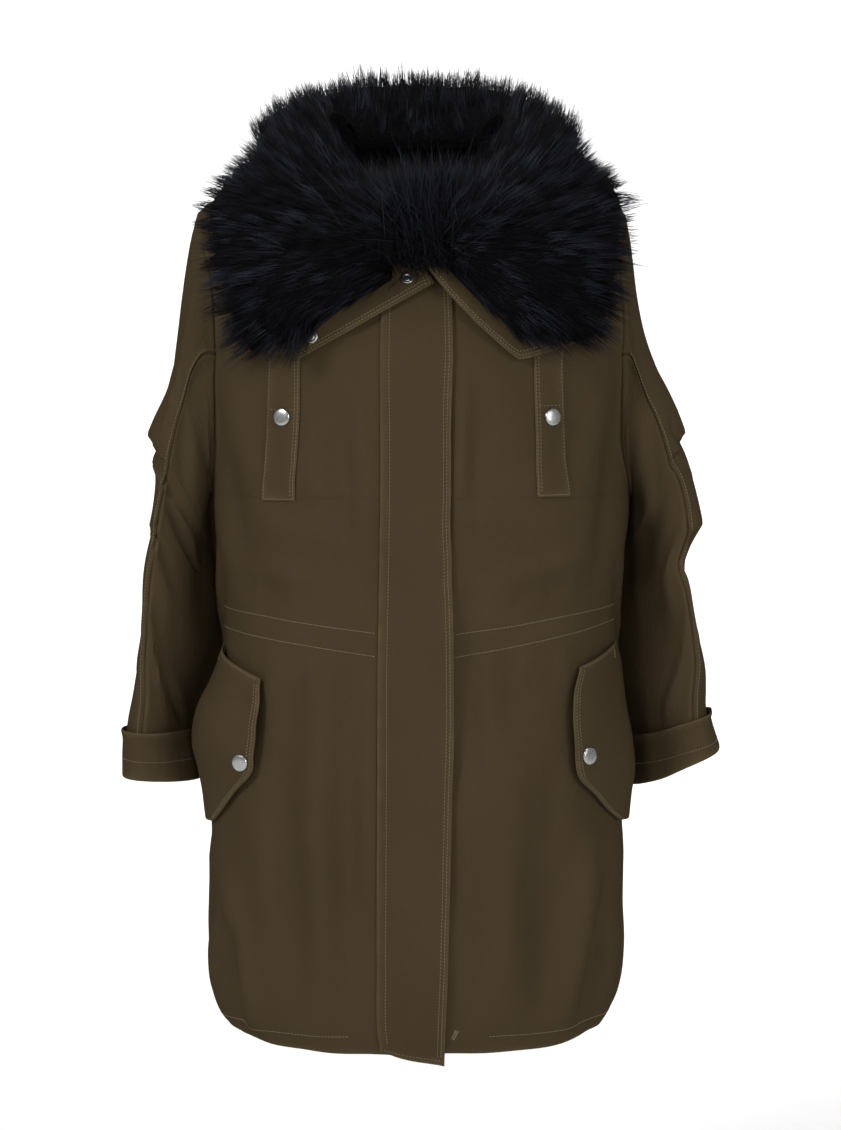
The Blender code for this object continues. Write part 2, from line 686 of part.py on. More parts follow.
def make_front(side, word):
    levels = body_levels()
    angles = np.array([half_panel(z, side, True) for z in levels])
    for row, z in zip(angles, levels):
        row[0] = drawn_in_angle(z, row[0], side)
    finish_panel(f"front_{word}", levels, angles, {side: -1})


def make_back():
    levels = body_levels()
    rows = []
    for z in levels:
        left = half_panel(z, LEFT, False)
        right = half_panel(z, RIGHT, False) + 2 * math.pi
        rows.append(np.concatenate([left[::-1], right[1:]]))
    finish_panel("back", levels, np.array(rows), {LEFT: 0, RIGHT: -1})


def finish_panel(name, levels, angles, armhole_columns):
    """A body panel's wall. Along the armholes its edge takes the direction shared with the sleeve."""
    outer = np.array([body_points(z, row) for z, row in zip(levels, angles)])
    normals = np.array([body_normal(z, row) for z, row in zip(levels, angles)])
    first = len(LOWER_LEVELS)
    is_front = name != "back"
    for side, column in armhole_columns.items():
        shared = seam_normals(side)
        for i in range(ARMHOLE_STEPS + 1):
            if i in (0, ARMHOLE_STEPS):
                place = 0 if i else ARMHOLE_STEPS
            else:
                place = ARMHOLE_STEPS - i if is_front else ARMHOLE_STEPS + i
            normals[first + i, column] = shared[place]
    wall(name, outer, outer - normals * SHELL_WALL, cloth())


def on_body(levels, angles, lifts, thickness, name, finish):
    """A patch on the body: its inner face is lifted off the body's points, with its wall outside."""
    base = np.array([[body_points(z, a) for z, a in zip(zs, row)] for zs, row in zip(levels, angles)])
    normals = np.array([[body_normal(z, a) for z, a in zip(zs, row)] for zs, row in zip(levels, angles)])
    inner = base + normals * np.asarray(lifts)[..., None]
    return wall(name, inner + normals * thickness, inner, finish)


def front_place(x, z):
    """A point and normal of the front. Below the hem the front is carried straight on down."""
    hem_z = BODY[0].front_z * MM
    level, around = front_at(x, max(z, hem_z + MM))
    point, normal = body_points(level, around), body_normal(level, around)
    point[2] += min(z - hem_z - MM, 0.0)
    return point, normal


def make_placket():
    """The fly: its free edge stands a little off the coat, and its lower corner hangs below the hem."""
    across = np.linspace(0.0, 1.0, 5)
    inner, outer = [], []
    for z in np.array(PLACKET_LEVELS) * MM:
        row = PLACKET_CURVE.at(z)
        xs = row.sewn_x + (row.free_x - row.sewn_x) * across
        drop = PLACKET_SLANT * across if z == PLACKET_LEVELS[0] * MM else 0 * across
        places = [front_place(x, z - d) for x, d in zip(xs, drop)]
        lifts = FLY_GAP + SEAM_PADDING * np.sin(math.pi * across) + row.lift * across**3
        inner.append([point + normal * lift for (point, normal), lift in zip(places, lifts)])
        outer.append([point + normal * (lift + PLACKET_WALL) for (point, normal), lift in zip(places, lifts)])
    wall("fly_placket", np.array(outer), np.array(inner), cloth())


def make_tab(side, word):
    curve = TAB_CURVES[side]
    rows = np.linspace(TABS[side][0].level, TABS[side][-1].level, 8) * MM
    levels, angles = [], []
    for z in rows:
        row = curve.at(z)
        places = [front_at(x, z) for x in np.linspace(row.outer_x, row.inner_x, 4)]
        levels.append([level for level, _ in places])
        angles.append([around for _, around in places])
    lifts = np.full((len(rows), 4), SEAM_GAP)
    on_body(levels, angles, lifts, TAB_WALL, f"chest_tab_{word}", cloth())
    x, z = (value * MM for value in SNAP_ON_TAB[side])
    level, around = front_at(x, z)
    axis = body_normal(level, around)
    place = body_points(level, around) + axis * (TAB_WALL + 3 * SEAM_GAP)
    make_snap(f"chest_snap_{word}", place, axis)


def make_snap(name, place, axis):
    profile = [
        (0.0, SNAP_HEIGHT),
        (0.45 * SNAP_RADIUS, 0.94 * SNAP_HEIGHT),
        (0.8 * SNAP_RADIUS, 0.68 * SNAP_HEIGHT),
        (SNAP_RADIUS, 0.25 * SNAP_HEIGHT),
        (0.96 * SNAP_RADIUS, 0.0),
        (0.0, 0.0),
    ]
    turned(name, profile, place, axis, metal())


def make_socket(name, place, axis):
    """A snap's socket: a ring with a sunk middle."""
    profile = [
        (0.0, 0.35 * SOCKET_HEIGHT),
        (0.42 * SOCKET_RADIUS, 0.35 * SOCKET_HEIGHT),
        (0.5 * SOCKET_RADIUS, SOCKET_HEIGHT),
        (0.82 * SOCKET_RADIUS, SOCKET_HEIGHT),
        (SOCKET_RADIUS, 0.5 * SOCKET_HEIGHT),
        (SOCKET_RADIUS, 0.0),
        (0.0, 0.0),
    ]
    turned(name, profile, place, axis, metal())


def flap_point(side, down, across):
    """A point and normal of a flap's inner face: across runs from the free edge (0) to the sewn edge (1)."""
    row = FLAP_CURVES[side].at(down)
    free_level, free_around = front_at(row.free_x * MM, row.free_z * MM)
    sewn_around = side * math.radians(row.sewn_around)
    level = free_level + (row.sewn_z * MM - free_level) * across
    around = free_around + (sewn_around - free_around) * across
    swell = math.sin(math.pi * across**1.25) ** 0.8 if 0 < across < 1 else 0.0
    lift = SEAM_GAP + SEAM_PADDING / 2 + row.free_lift * MM * (1 - across) ** 1.5 + row.bulge * MM * swell
    normal = body_normal(level, around)
    return body_points(level, around) + normal * lift


def make_flap(side, word):
    downs = np.linspace(0, 6, 10)
    acrosses = np.linspace(0, 1, FLAP_COLUMNS)
    inner = np.array([[flap_point(side, d, a) for a in acrosses] for d in downs])
    normals = unit(np.cross(np.gradient(inner, axis=1), np.gradient(inner, axis=0)))
    if np.sum(normals[..., 0]) * side < 0:
        normals = -normals
    wall(f"pocket_flap_{word}", inner + normals * FLAP_WALL, inner, cloth())
    across, down = SNAP_ON_FLAP[side]
    step = 0.03
    middle = flap_point(side, down, across)
    sideways = flap_point(side, down, across + step) - flap_point(side, down, across - step)
    downward = flap_point(side, down + step, across) - flap_point(side, down - step, across)
    axis = unit(np.cross(sideways, downward))
    if axis[1] > 0:
        axis = -axis
    make_snap(f"pocket_snap_{word}", middle + axis * (FLAP_WALL + 3 * SEAM_GAP), axis)


# Collar and fur


def through(points, shares):
    """Points at these shares of the length of a smooth curve through a few points."""
    points = np.asarray(points)
    along = np.concatenate([[0], np.cumsum(np.linalg.norm(np.diff(points, axis=0), axis=1))])
    slopes = np.gradient(points, along, axis=0)
    places = []
    for s in np.linspace(0, along[-1], 100):
        i = int(min(max(np.searchsorted(along, s) - 1, 0), len(along) - 2))
        span = along[i + 1] - along[i]
        t = (s - along[i]) / span
        places.append(
            (2 * t**3 - 3 * t**2 + 1) * points[i]
            + (t**3 - 2 * t**2 + t) * slopes[i] * span
            + (3 * t**2 - 2 * t**3) * points[i + 1]
            + (t**3 - t**2) * slopes[i + 1] * span
        )
    places = np.array(places)
    along = np.concatenate([[0], np.cumsum(np.linalg.norm(np.diff(places, axis=0), axis=1))])
    wanted = np.asarray(shares) * along[-1]
    return np.stack([np.interp(wanted, along, places[:, k]) for k in range(3)], axis=1)


def collar_edge(side, around):
    """The level and angle of the body under the collar's free edge."""
    wing = COLLAR_WINGS[side]
    row = COLLAR_CURVES[side].at(around)
    share = min((around - 1) / (wing.tip_around - 1), 1.0)
    x = wing.start_x + (wing.tip_x - wing.start_x) * share
    z = wing.start_z + (wing.tip_z - wing.start_z) * share - wing.bow * 4 * share * (1 - share)
    wing_level, wing_around = front_at(x * MM, z * MM)
    if around <= wing.tip_around:
        return wing_level, wing_around
    rows = [section for section in COLLAR[side] if section.around > wing.tip_around]
    keys = [wing.tip_around] + [section.around for section in rows]
    levels = [wing_level] + [section.edge_level * MM for section in rows]
    arounds = [wing_around] + [side * math.radians(section.edge_around) for section in rows]
    return float(np.interp(row.around, keys, levels)), float(np.interp(row.around, keys, arounds))


def body_under(x, y, lowest):
    """The level and angle of the shoulder's or chest's point that has this x and y."""
    low, high = lowest, NECK_LEVEL
    for _ in range(30):
        level = (low + high) / 2
        row = BODY_CURVE.at(level)
        across = abs(x) / (row.left_half if x > 0 else row.right_half)
        forward = abs(y - SIDE_SEAM_Y) / (row.front if y < SIDE_SEAM_Y else row.back)
        power = row.squareness / MM
        if across**power + forward**power > 1:
            high = level
        else:
            low = level
    sine = min(1.0, across) ** (power / 2)
    around = math.asin(min(1.0, sine))
    if y > SIDE_SEAM_Y:
        around = math.pi - around
    return level, math.copysign(around, x)


def collar_profile(side, around, shares):
    """The collar's underside at one angle, from the neck seam over its fold to its free edge."""
    row = COLLAR_CURVES[side].at(around)
    neck_angle = side * math.radians(max(around, COLLAR_START[side]))
    edge_level, edge_around = collar_edge(side, around)
    lift, stand = row.lift * MM, row.stand * MM
    seam = body_points(NECK_LEVEL, neck_angle) + np.array([0, 0, NECK_SEAM_GAP])
    out = unit(np.array([seam[0], seam[1] - SIDE_SEAM_Y * 0.5, 0.0]))
    up = np.array([0.0, 0.0, 1.0])
    foot = body_points(edge_level, edge_around)
    points = [seam]
    for fold in COLLAR_FOLD:
        points.append(seam + up * fold.up * stand + out * (fold.out * stand + fold.more_out * MM))
    for share, more in LEAF_PLACES:
        plan = seam + (foot - seam) * share
        level, angle = body_under(plan[0], plan[1], edge_level)
        points.append(body_points(level, angle) + body_normal(level, angle) * (lift + more * MM))
    points.append(foot + body_normal(edge_level, edge_around) * lift)
    return through(points, shares)


def collar_shares(side, around):
    """Rows from the seam to the fur's edge, then the bare margin in two steps."""
    outline = collar_profile(side, around, np.linspace(0, 1, 60))
    length = float(np.sum(np.linalg.norm(np.diff(outline, axis=0), axis=1)))
    fur_edge = 1 - COLLAR_CURVES[side].at(around).margin * MM / length
    return [share * fur_edge for share in COLLAR_SHARES] + [(1 + fur_edge) / 2, 1]


def collar_grid(side):
    """The collar's underside and its normals, which point away from the fur."""
    grid = np.array([collar_profile(side, a, collar_shares(side, a)) for a in COLLAR_ANGLES])
    normals = unit(np.cross(np.gradient(grid, axis=0), np.gradient(grid, axis=1)))
    outward = grid[:, 0] - np.array([0, SIDE_SEAM_Y * 0.5, 0])
    if np.sum(outward[:, :2] * normals[:, 0, :2]) < 0:
        normals = -normals
    normals[-1, :, 0] = 0.0
    return grid, unit(normals)


def make_collar(side, word):
    grid, normals = collar_grid(side)
    grid[-1, :, 0] += side * SEAM_GAP / 2
    upper = grid - normals * COLLAR_WALL
    order = slice(None, None, side)  # the right half's quads are split the way the fur's are
    wall(f"collar_{word}", grid[order], upper[order], cloth())


def fur_loops(side):
    """The fur's outlines: along the collar's upper face, then back over the pile's tips."""
    grid, normals = collar_grid(side)
    kept = slice(FUR_FIRST_ROW, FUR_LAST_ROW + 1)
    clearance = np.full(len(COLLAR_ANGLES), FUR_CLEARANCE)
    clearance[FUR_FIRST_COLUMN : FUR_FIRST_COLUMN + 2] = FIRST_CLEARANCES
    upper = (grid - normals * (COLLAR_WALL + clearance)[:, None, None])[:, kept]
    along = unit(np.gradient(grid, axis=1))[:, kept]
    outward = -normals[:, kept]
    loops = []
    for i in range(FUR_FIRST_COLUMN, len(COLLAR_ANGLES)):
        row = COLLAR_CURVES[side].at(COLLAR_ANGLES[i])
        if not loops:
            end = pile_loop(row, upper[i] + outward[i] * FUR_END_LIFT, outward[i], along[i], FUR_END_LENGTH)
            nearest = end[:, 0].min() if side == LEFT else end[:, 0].max()
            end[:, 0] += FUR_END_REACH[side] - nearest
            loops.append(end)
        loops.append(pile_loop(row, upper[i], outward[i], along[i], 1.0))
    return loops


def pile_loop(row, under, out, onward, length):
    """One outline of the fur over points of the collar's face, with this share of the pile's length."""
    shares = np.linspace(0, 1, len(under))
    lean = np.interp(shares, *zip(*PILE_LEANS))
    lengths = [row.pile_in, row.pile_top, row.pile_out, LAST_PILE * row.pile_out]
    pile = np.interp(shares, PILE_PLACES, lengths)
    tips = under + unit(out + onward * lean[:, None]) * pile[:, None] * length * MM
    overhang = row.overhang * length * MM
    last = under[-1] + onward[-1] * overhang + out[-1] * (FRINGE_LIFT + FRINGE_RISE * overhang)
    inside = under[0] + out[0] * INNER_PILE * row.pile_in * length * MM
    return np.concatenate([under, [last], tips[::-1], [inside]])


def make_fur():
    left, right = fur_loops(LEFT), fur_loops(RIGHT)
    steps = FUR_LAST_ROW - FUR_FIRST_ROW
    last, inside = steps + 1, 2 * steps + 3
    cap = [(i, i + 1, inside - 2 - i, inside - 1 - i) for i in range(steps)]
    cap += [(steps, last, last + 1), (inside, 0, inside - 1)]
    loft("fur_collar", np.array(left + right[-2::-1]), cap, fur())


Socket = collections.namedtuple("Socket", "name around share gap")
SOCKETS = (
    Socket("collar_socket_upper", 8.0, 0.77, 1.2),
    Socket("collar_socket_lower", 35.0, 0.915, 0.4),
)


def make_sockets():
    """Two snap sockets on the wearer's right wing, near its lower edge."""
    for socket in SOCKETS:
        shares = (socket.share - 0.03, socket.share, socket.share + 0.03)
        near = [collar_profile(RIGHT, socket.around + turn, shares) for turn in (-1, 0, 1)]
        normal = unit(np.cross(near[2][1] - near[0][1], near[1][2] - near[1][0]))
        if normal[1] > 0:
            normal = -normal
        make_socket(socket.name, near[1][1] + normal * (COLLAR_WALL + socket.gap * MM), normal)


def clear_scene():
    for existing in list(bpy.data.objects):
        bpy.data.objects.remove(existing, do_unlink=True)


def main():
    clear_scene()
    for side, word in ((RIGHT, "right"), (LEFT, "left")):
        make_front(side, word)
        make_sleeve(side, word)
        make_cuff(side, word)
        make_tab(side, word)
        make_flap(side, word)
        make_collar(side, word)
    make_back()
    make_placket()
    make_fur()
    make_sockets()


main()
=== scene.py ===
"""Looks of a parka coat: its folded cloth, its sewing, its metal snaps, its long black pile and a plain studio.

The frame's solids give each piece its place. The tables below repeat the coat's cut in millimetres, and the cloth is
laid on them finely, with the creases that a hanging coat has. Angles run from the centre front (0) to the back (180).
"""

import collections
import functools
import math

import bmesh
import bpy
import numpy as np
from bpy.props import FloatProperty, FloatVectorProperty, IntProperty, PointerProperty
from mathutils import Matrix, Vector
from mathutils.bvhtree import BVHTree


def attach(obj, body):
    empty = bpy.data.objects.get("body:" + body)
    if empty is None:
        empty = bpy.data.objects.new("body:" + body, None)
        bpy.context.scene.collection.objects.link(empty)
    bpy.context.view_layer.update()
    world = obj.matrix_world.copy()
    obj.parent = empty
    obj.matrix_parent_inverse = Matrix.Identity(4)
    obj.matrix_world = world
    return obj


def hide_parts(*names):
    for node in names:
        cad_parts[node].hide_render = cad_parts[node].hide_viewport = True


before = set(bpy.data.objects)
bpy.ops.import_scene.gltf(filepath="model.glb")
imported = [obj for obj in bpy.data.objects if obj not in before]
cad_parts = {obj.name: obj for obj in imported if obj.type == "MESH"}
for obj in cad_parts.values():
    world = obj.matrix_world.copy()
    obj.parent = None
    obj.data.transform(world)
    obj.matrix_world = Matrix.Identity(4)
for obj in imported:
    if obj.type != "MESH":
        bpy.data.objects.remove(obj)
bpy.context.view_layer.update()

bl_info = {
    "name": "Parka Coat Looks",
    "version": (1, 0, 0),
    "blender": (4, 5, 0),
    "location": "3D View > Sidebar > Parka",
    "description": "Builds the cloth, sewing, snaps and fur of a parka coat around its frame",
    "category": "Object",
}

MM = 0.001

SHELL_WALL = 1.6 * MM  # two layers of nylon twill with a light fill
COLLAR_WALL = 2.2 * MM
PLACKET_WALL = 2.4 * MM
TAB_WALL = 2.2 * MM
FLAP_WALL = 2.2 * MM
CUFF_WALL = 2.4 * MM
SEAM_GAP = 0.3 * MM
NECK_SEAM_GAP = 0.8 * MM
SIDE_SEAM_Y = 15 * MM
ARMHOLE_TOP = 2 * MM
ARMHOLE_BOTTOM = -279 * MM
ARMHOLE_FRONT = 68 * MM
ARMHOLE_BACK = 78 * MM
ARMHOLE_SQUARENESS = 2.3
ARMHOLE_MIDDLE = (ARMHOLE_TOP + ARMHOLE_BOTTOM) / 2
ARMHOLE_HALF = (ARMHOLE_TOP - ARMHOLE_BOTTOM) / 2
NECK_LEVEL = 46 * MM
NECK_MIDDLE_Y = SIDE_SEAM_Y / 2
SNAP_RADIUS = 8.5 * MM
SOCKET_RADIUS = 6.0 * MM

RIGHT, LEFT = -1, 1  # the wearer's sides, as signs of x
SIDES = {RIGHT: "right", LEFT: "left"}


def table(kind, *rows):
    """A table's rows as named tuples of one kind."""
    return tuple(kind(*row) for row in rows)


# The body's rings from the hem to the neck: each one's height at the side, in front and behind, and its half widths.
BodySection = collections.namedtuple(
    "BodySection", "side_z front_z back_z right_half left_half front back squareness"
)
BODY = table(
    BodySection,
    (-805, -817, -802, 187, 181, 137, 122, 3.0),
    (-790, -801, -788, 198, 191, 144, 127, 2.9),
    (-768, -775, -767, 206, 199, 149, 131, 2.8),
    (-735, -738, -735, 209, 203, 153, 134, 2.7),
    (-680, -680, -680, 209, 202, 155, 135, 2.6),
    (-610, -610, -610, 206, 203, 154, 133, 2.6),
    (-520, -520, -520, 200, 200, 150, 129, 2.6),
    (-432, -432, -432, 197, 198, 146, 125, 2.6),
    (-360, -360, -360, 198, 201, 148, 125, 2.5),
    (-279, -279, -279, 203, 207, 150, 127, 2.5),
    (-220, -220, -220, 206, 211, 149, 129, 2.5),
    (-160, -162, -160, 210, 215, 145, 128, 2.5),
    (-100, -116, -98, 213, 217, 135, 121, 2.5),
    (-60, -93, -56, 215, 214, 126, 112, 2.4),
    (-22, -78, -18, 217, 211, 118, 98, 2.35),
    (2, -69, 4, 214, 206, 112, 90, 2.3),
    (18, -64, 20, 190, 190, 107, 80, 2.2),
    (32, -59, 32, 138, 138, 102, 71, 2.1),
    (46, -54, 45, 88, 88, 98, 62, 2.1),
)

# Soft folds of the body, pushed out along the ground: a ridge is positive and a trough is negative.
BodyFold = collections.namedtuple("BodyFold", "around level wide tall lean depth")
BODY_FOLDS = table(
    BodyFold,
    (-62, -745, 5, 50, 0.10, -5),
    (-74, -735, 5, 55, 0.08, 4),
    (56, -735, 5, 55, -0.12, -5),
    (70, -745, 6, 55, -0.08, 4),
    (24, -560, 5, 120, -0.02, -3),
    (-26, -350, 6, 90, 0.02, -3),
    (38, -330, 8, 80, -0.06, 3),
    (-40, -480, 7, 60, 0.05, 3),
    (150, -640, 8, 130, 0.01, 4),
    (-155, -600, 8, 140, -0.01, 4),
    (180, -330, 7, 120, 0.0, -4),
    (128, -320, 7, 90, 0.05, -4),
    (-130, -300, 7, 90, -0.05, -4),
    (-118, -760, 6, 45, 0.08, 4),
    (116, -755, 6, 45, -0.08, 4),
)

# A sleeve's rings from the armhole to the cuff's lower edge. "outer" and "inner" are the ring's highest reach away
# from the body and its lowest point next to it; x is measured from the coat's middle, and turn is in degrees.
SleeveSection = collections.namedtuple(
    "SleeveSection", "station outer_x outer_z inner_x inner_z front_y back_y turn"
)
SLEEVES = {
    RIGHT: table(
        SleeveSection,
        (0, 214, 2, 203, -279, -53, 93, 0),
        (1, 222, -24, 206.5, -284, -55, 95, 5),
        (2, 231, -74, 208, -291, -57, 97, 12),
        (3, 238, -125, 208, -299, -58, 100, 18),
        (4, 245, -165, 207, -308, -57, 102, 24),
        (5, 250, -195, 206, -317, -55, 102, 28),
        (6, 253, -217, 206, -325, -54, 102, 30),
        (7, 256, -227, 206, -331, -53, 102, 31),
        (8, 257, -253, 204, -343, -51, 102, 42),
        (9, 259, -280, 200, -355, -50, 102, 50),
        (10, 262, -306, 198, -372, -48, 102, 52),
        (11, 264, -316, 197, -384, -47, 102, 52),
        (12, 271, -352, 196, -408, -45, 102, 52),
        (13, 277, -395, 199, -432, -42, 102, 48),
        (14, 281, -436, 211, -458, -38, 101, 42),
        (15, 283, -476, 222, -486, -34, 100, 33),
        (16, 288, -512, 227, -516, -32, 100, 30),
        (17, 291, -560, 221, -567, -32, 101, 28),
    ),
    LEFT: table(
        SleeveSection,
        (0, 206, 2, 207, -279, -53, 93, 0),
        (1, 210, -26, 210.5, -284, -55, 95, 5),
        (2, 217, -76, 212, -291, -57, 97, 12),
        (3, 229, -125, 212, -299, -58, 100, 18),
        (4, 240, -158, 211, -308, -57, 102, 24),
        (5, 249, -190, 210, -317, -55, 102, 28),
        (6, 255, -215, 210, -325, -53, 102, 30),
        (7, 258, -223, 210, -331, -52, 102, 31),
        (8, 263, -245, 206, -343, -50, 102, 42),
        (9, 265, -275, 202, -356, -48, 102, 50),
        (10, 265, -306, 200, -372, -47, 102, 52),
        (11, 263, -341, 198, -390, -45, 102, 52),
        (12, 273, -372, 197, -412, -43, 102, 52),
        (13, 281, -410, 198, -436, -40, 102, 50),
        (14, 287, -446, 202, -462, -37, 101, 44),
        (15, 289, -472, 213, -492, -34, 100, 33),
        (16, 290, -494, 220, -524, -32, 100, 30),
        (17, 298, -533, 219, -576, -32, 101, 28),
    ),
}
SLEEVE_SQUARENESS = 2.2

# The elbow's folds: a point that sticks out and is undercut. rise and fall are its lengths above and below the tip.
ElbowFold = collections.namedtuple("ElbowFold", "tip_z reach rise fall")
ELBOW_FOLDS = {
    RIGHT: table(ElbowFold, (-217, 14, 70, 10), (-306, 4, 40, 10)),
    LEFT: table(ElbowFold, (-215, 9, 60, 8), (-306, 16, 80, 35)),
}
ELBOW_FOCUS = 3  # how narrow the folds are round the arm

# The fly over the front closing: it is sewn along the wearer's right edge, and its other edge is free.
PlacketRow = collections.namedtuple("PlacketRow", "level sewn_x free_x lift")
PLACKET = table(
    PlacketRow,
    (-813, -36, 25.5, 2.0),
    (-795, -38.5, 26.5, 2.0),
    (-730, -39.5, 28, 2.5),
    (-600, -39.5, 32, 3.0),
    (-489, -39, 33.5, 3.5),
    (-375, -37.5, 32, 2.5),
    (-273, -36, 33, 2.0),
    (-160, -36, 33.5, 2.0),
    (-100, -35, 33, 1.5),
    (-70, -34, 32, 1.0),
)
FLY_GAP = 0.5 * MM
SEAM_PADDING = 0.8 * MM  # how far the turned-in seam allowances hold the fly's middle off the fronts
PLACKET_SLANT = 15 * MM  # how much lower the free corner hangs than the sewn one
SLANT_REACH = 14 * MM

# The chest tabs' two long edges, from the lower end up, and each snap's x and z.
TabRow = collections.namedtuple("TabRow", "level outer_x inner_x")
TABS = {
    RIGHT: table(TabRow, (-281, -148.5, -117), (-205, -144.5, -113), (-134, -141, -112.5)),
    LEFT: table(TabRow, (-277, 143, 111.5), (-201, 140.5, 111), (-132, 137.5, 111)),
}
SNAP_ON_TAB = {RIGHT: (-128.5, -201), LEFT: (127.5, -201)}

# A pocket flap: from its free front edge to the edge sewn behind the side, with how far each row bulges.
FlapRow = collections.namedtuple("FlapRow", "down free_x free_z sewn_around sewn_z bulge free_lift")
FLAPS = {
    RIGHT: table(
        FlapRow,
        (0, -147, -454, 80, -427, 4, 3),
        (1, -145, -476, 92, -448, 10, 7),
        (2, -149, -502, 99, -486, 21, 9),
        (3, -154, -528, 101, -522, 21, 8),
        (4, -158, -547, 100, -550, 13, 6),
        (5, -177, -569, 96, -577, 6.5, 4),
        (6, -196, -599, 92, -603, 2.5, 2),
    ),
    LEFT: table(
        FlapRow,
        (0, 152, -442, 78, -423, 2, 3),
        (1, 144, -468, 88, -450, 3, 7),
        (2, 143, -494, 95, -484, 6, 9),
        (3, 146, -520, 99, -520, 12, 8),
        (4, 151, -548, 100, -552, 13, 6),
        (5, 172, -570, 96, -579, 7.5, 4),
        (6, 194, -598, 92, -603, 3, 3),
    ),
}
# Each snap's share of the way across from the free edge, and its row.
SNAP_ON_FLAP = {RIGHT: (0.09, 3.4), LEFT: (0.1, 3.3)}

# The collar: its seam runs along the neckline at "around" degrees from the front, it stands up and folds over.
# Its wing's lower edge is nearly straight in front, from the middle to the tip. Behind the tip its free edge lies
# at edge_around, edge_level. "lift" is how far it stands off the body, and the pile columns are the fur's lengths.
CollarSection = collections.namedtuple(
    "CollarSection", "around stand edge_around edge_level lift margin pile_in pile_top pile_out overhang"
)
COLLAR_BEHIND = (
    (110, 36, 96, 24, 7, 8, 36, 45, 20, 4),
    (125, 41, 121, 20, 7, 8, 36, 49, 27, 6),
    (152, 53, 152, 6, 7, 8, 36, 50, 36, 12),
    (180, 58, 180, 0, 7, 8, 36, 48, 40, 12),
)
COLLAR = {
    RIGHT: table(
        CollarSection,
        (1, 16, 0, 0, 6, 20, 24, 62, 26, 1),
        (12, 19, 0, 0, 6, 24, 28, 62, 30, 3),
        (24, 22, 0, 0, 5, 27, 32, 60, 36, 4),
        (36, 22, 0, 0, 5, 27, 34, 57, 42, 5),
        (48, 24, 40, -127, 7, 10, 36, 50, 42, 32),
        (60, 26, 47, -102, 7, 8, 36, 43, 28, 24),
        (75, 28, 57, -46, 8, 8, 36, 36, 14, 6),
        (84, 30, 60, -14, 8, 8, 36, 39, 13, 4),
        (95, 32, 73, 16, 7, 8, 36, 42, 13, 3),
        *COLLAR_BEHIND,
    ),
    LEFT: table(
        CollarSection,
        (1, 26, 0, 0, 20, 12, 24, 60, 26, 1),
        (12, 24, 0, 0, 15, 22, 28, 62, 30, 3),
        (24, 22, 0, 0, 10, 26, 32, 60, 36, 4),
        (36, 22, 0, 0, 6, 26, 34, 57, 42, 5),
        (48, 24, 41, -123, 7, 10, 36, 50, 40, 20),
        (60, 26, 48, -92, 7, 8, 36, 42, 28, 18),
        (75, 28, 57, -44, 8, 8, 36, 36, 14, 6),
        (84, 30, 61, -12, 8, 8, 36, 39, 13, 4),
        (95, 32, 74, 16, 7, 8, 36, 42, 13, 3),
        *COLLAR_BEHIND,
    ),
}
# A wing's lower edge, from its start in the middle to its tip, and how far it bows down between them.
CollarWing = collections.namedtuple("CollarWing", "start_x start_z tip_x tip_z bow tip_around")
COLLAR_WINGS = {
    RIGHT: CollarWing(15, -76, -113, -147, 0, 38),
    LEFT: CollarWing(-2, -55, 96, -148, 6, 38),
}
COLLAR_START = {RIGHT: 3.5, LEFT: 8}  # degrees from the middle at which each half's seam begins
LEAF_PLACES = ((0.55, 5), (0.9, 3))  # shares of the way to the edge, and how much higher the leaf is there
FUR_CLEARANCE = 1.2 * MM
FUR_END_CLEARANCE = 4 * MM  # as much again at the fur's front end
FUR_FIRST_SHARE = 0.14  # of the way from the neck seam to the fur's edge
FUR_FIRST_ANGLE = 13  # degrees; the fur's ends are set back from the wings' front edges
FUR_END_LIFT = 11 * MM  # over the bare end of the collar
FUR_END_LENGTH = 0.8
FUR_END_REACH = {RIGHT: -5 * MM, LEFT: 1.5 * MM}  # how near to the coat's middle the pile of each end comes

ROW_STEP = 4.6 * MM
ROLL_REACH = 8 * MM  # how far in from an edge its roll is felt
ANGLE_STEP = 0.02  # radians to each side, for a normal
FRONT_COLUMNS, BACK_COLUMNS = 46, 96
ARMHOLE_STEPS = 40
FRONT_SEAM_STEP = 20  # the sleeve's seams, in steps round the armhole
BACK_SEAM_STEP = 60
HEM_LEVEL = BODY[0].side_z * MM
HEM_TURN = 0.8 * MM  # how far the hem's fold draws its edge in
HEM_FOLD = 1.0 * MM
EDGE_STEPS = np.array([0.0, 0.7, 1.6, 2.8, 4.4, 6.6]) * MM  # where an edge's first rows lie

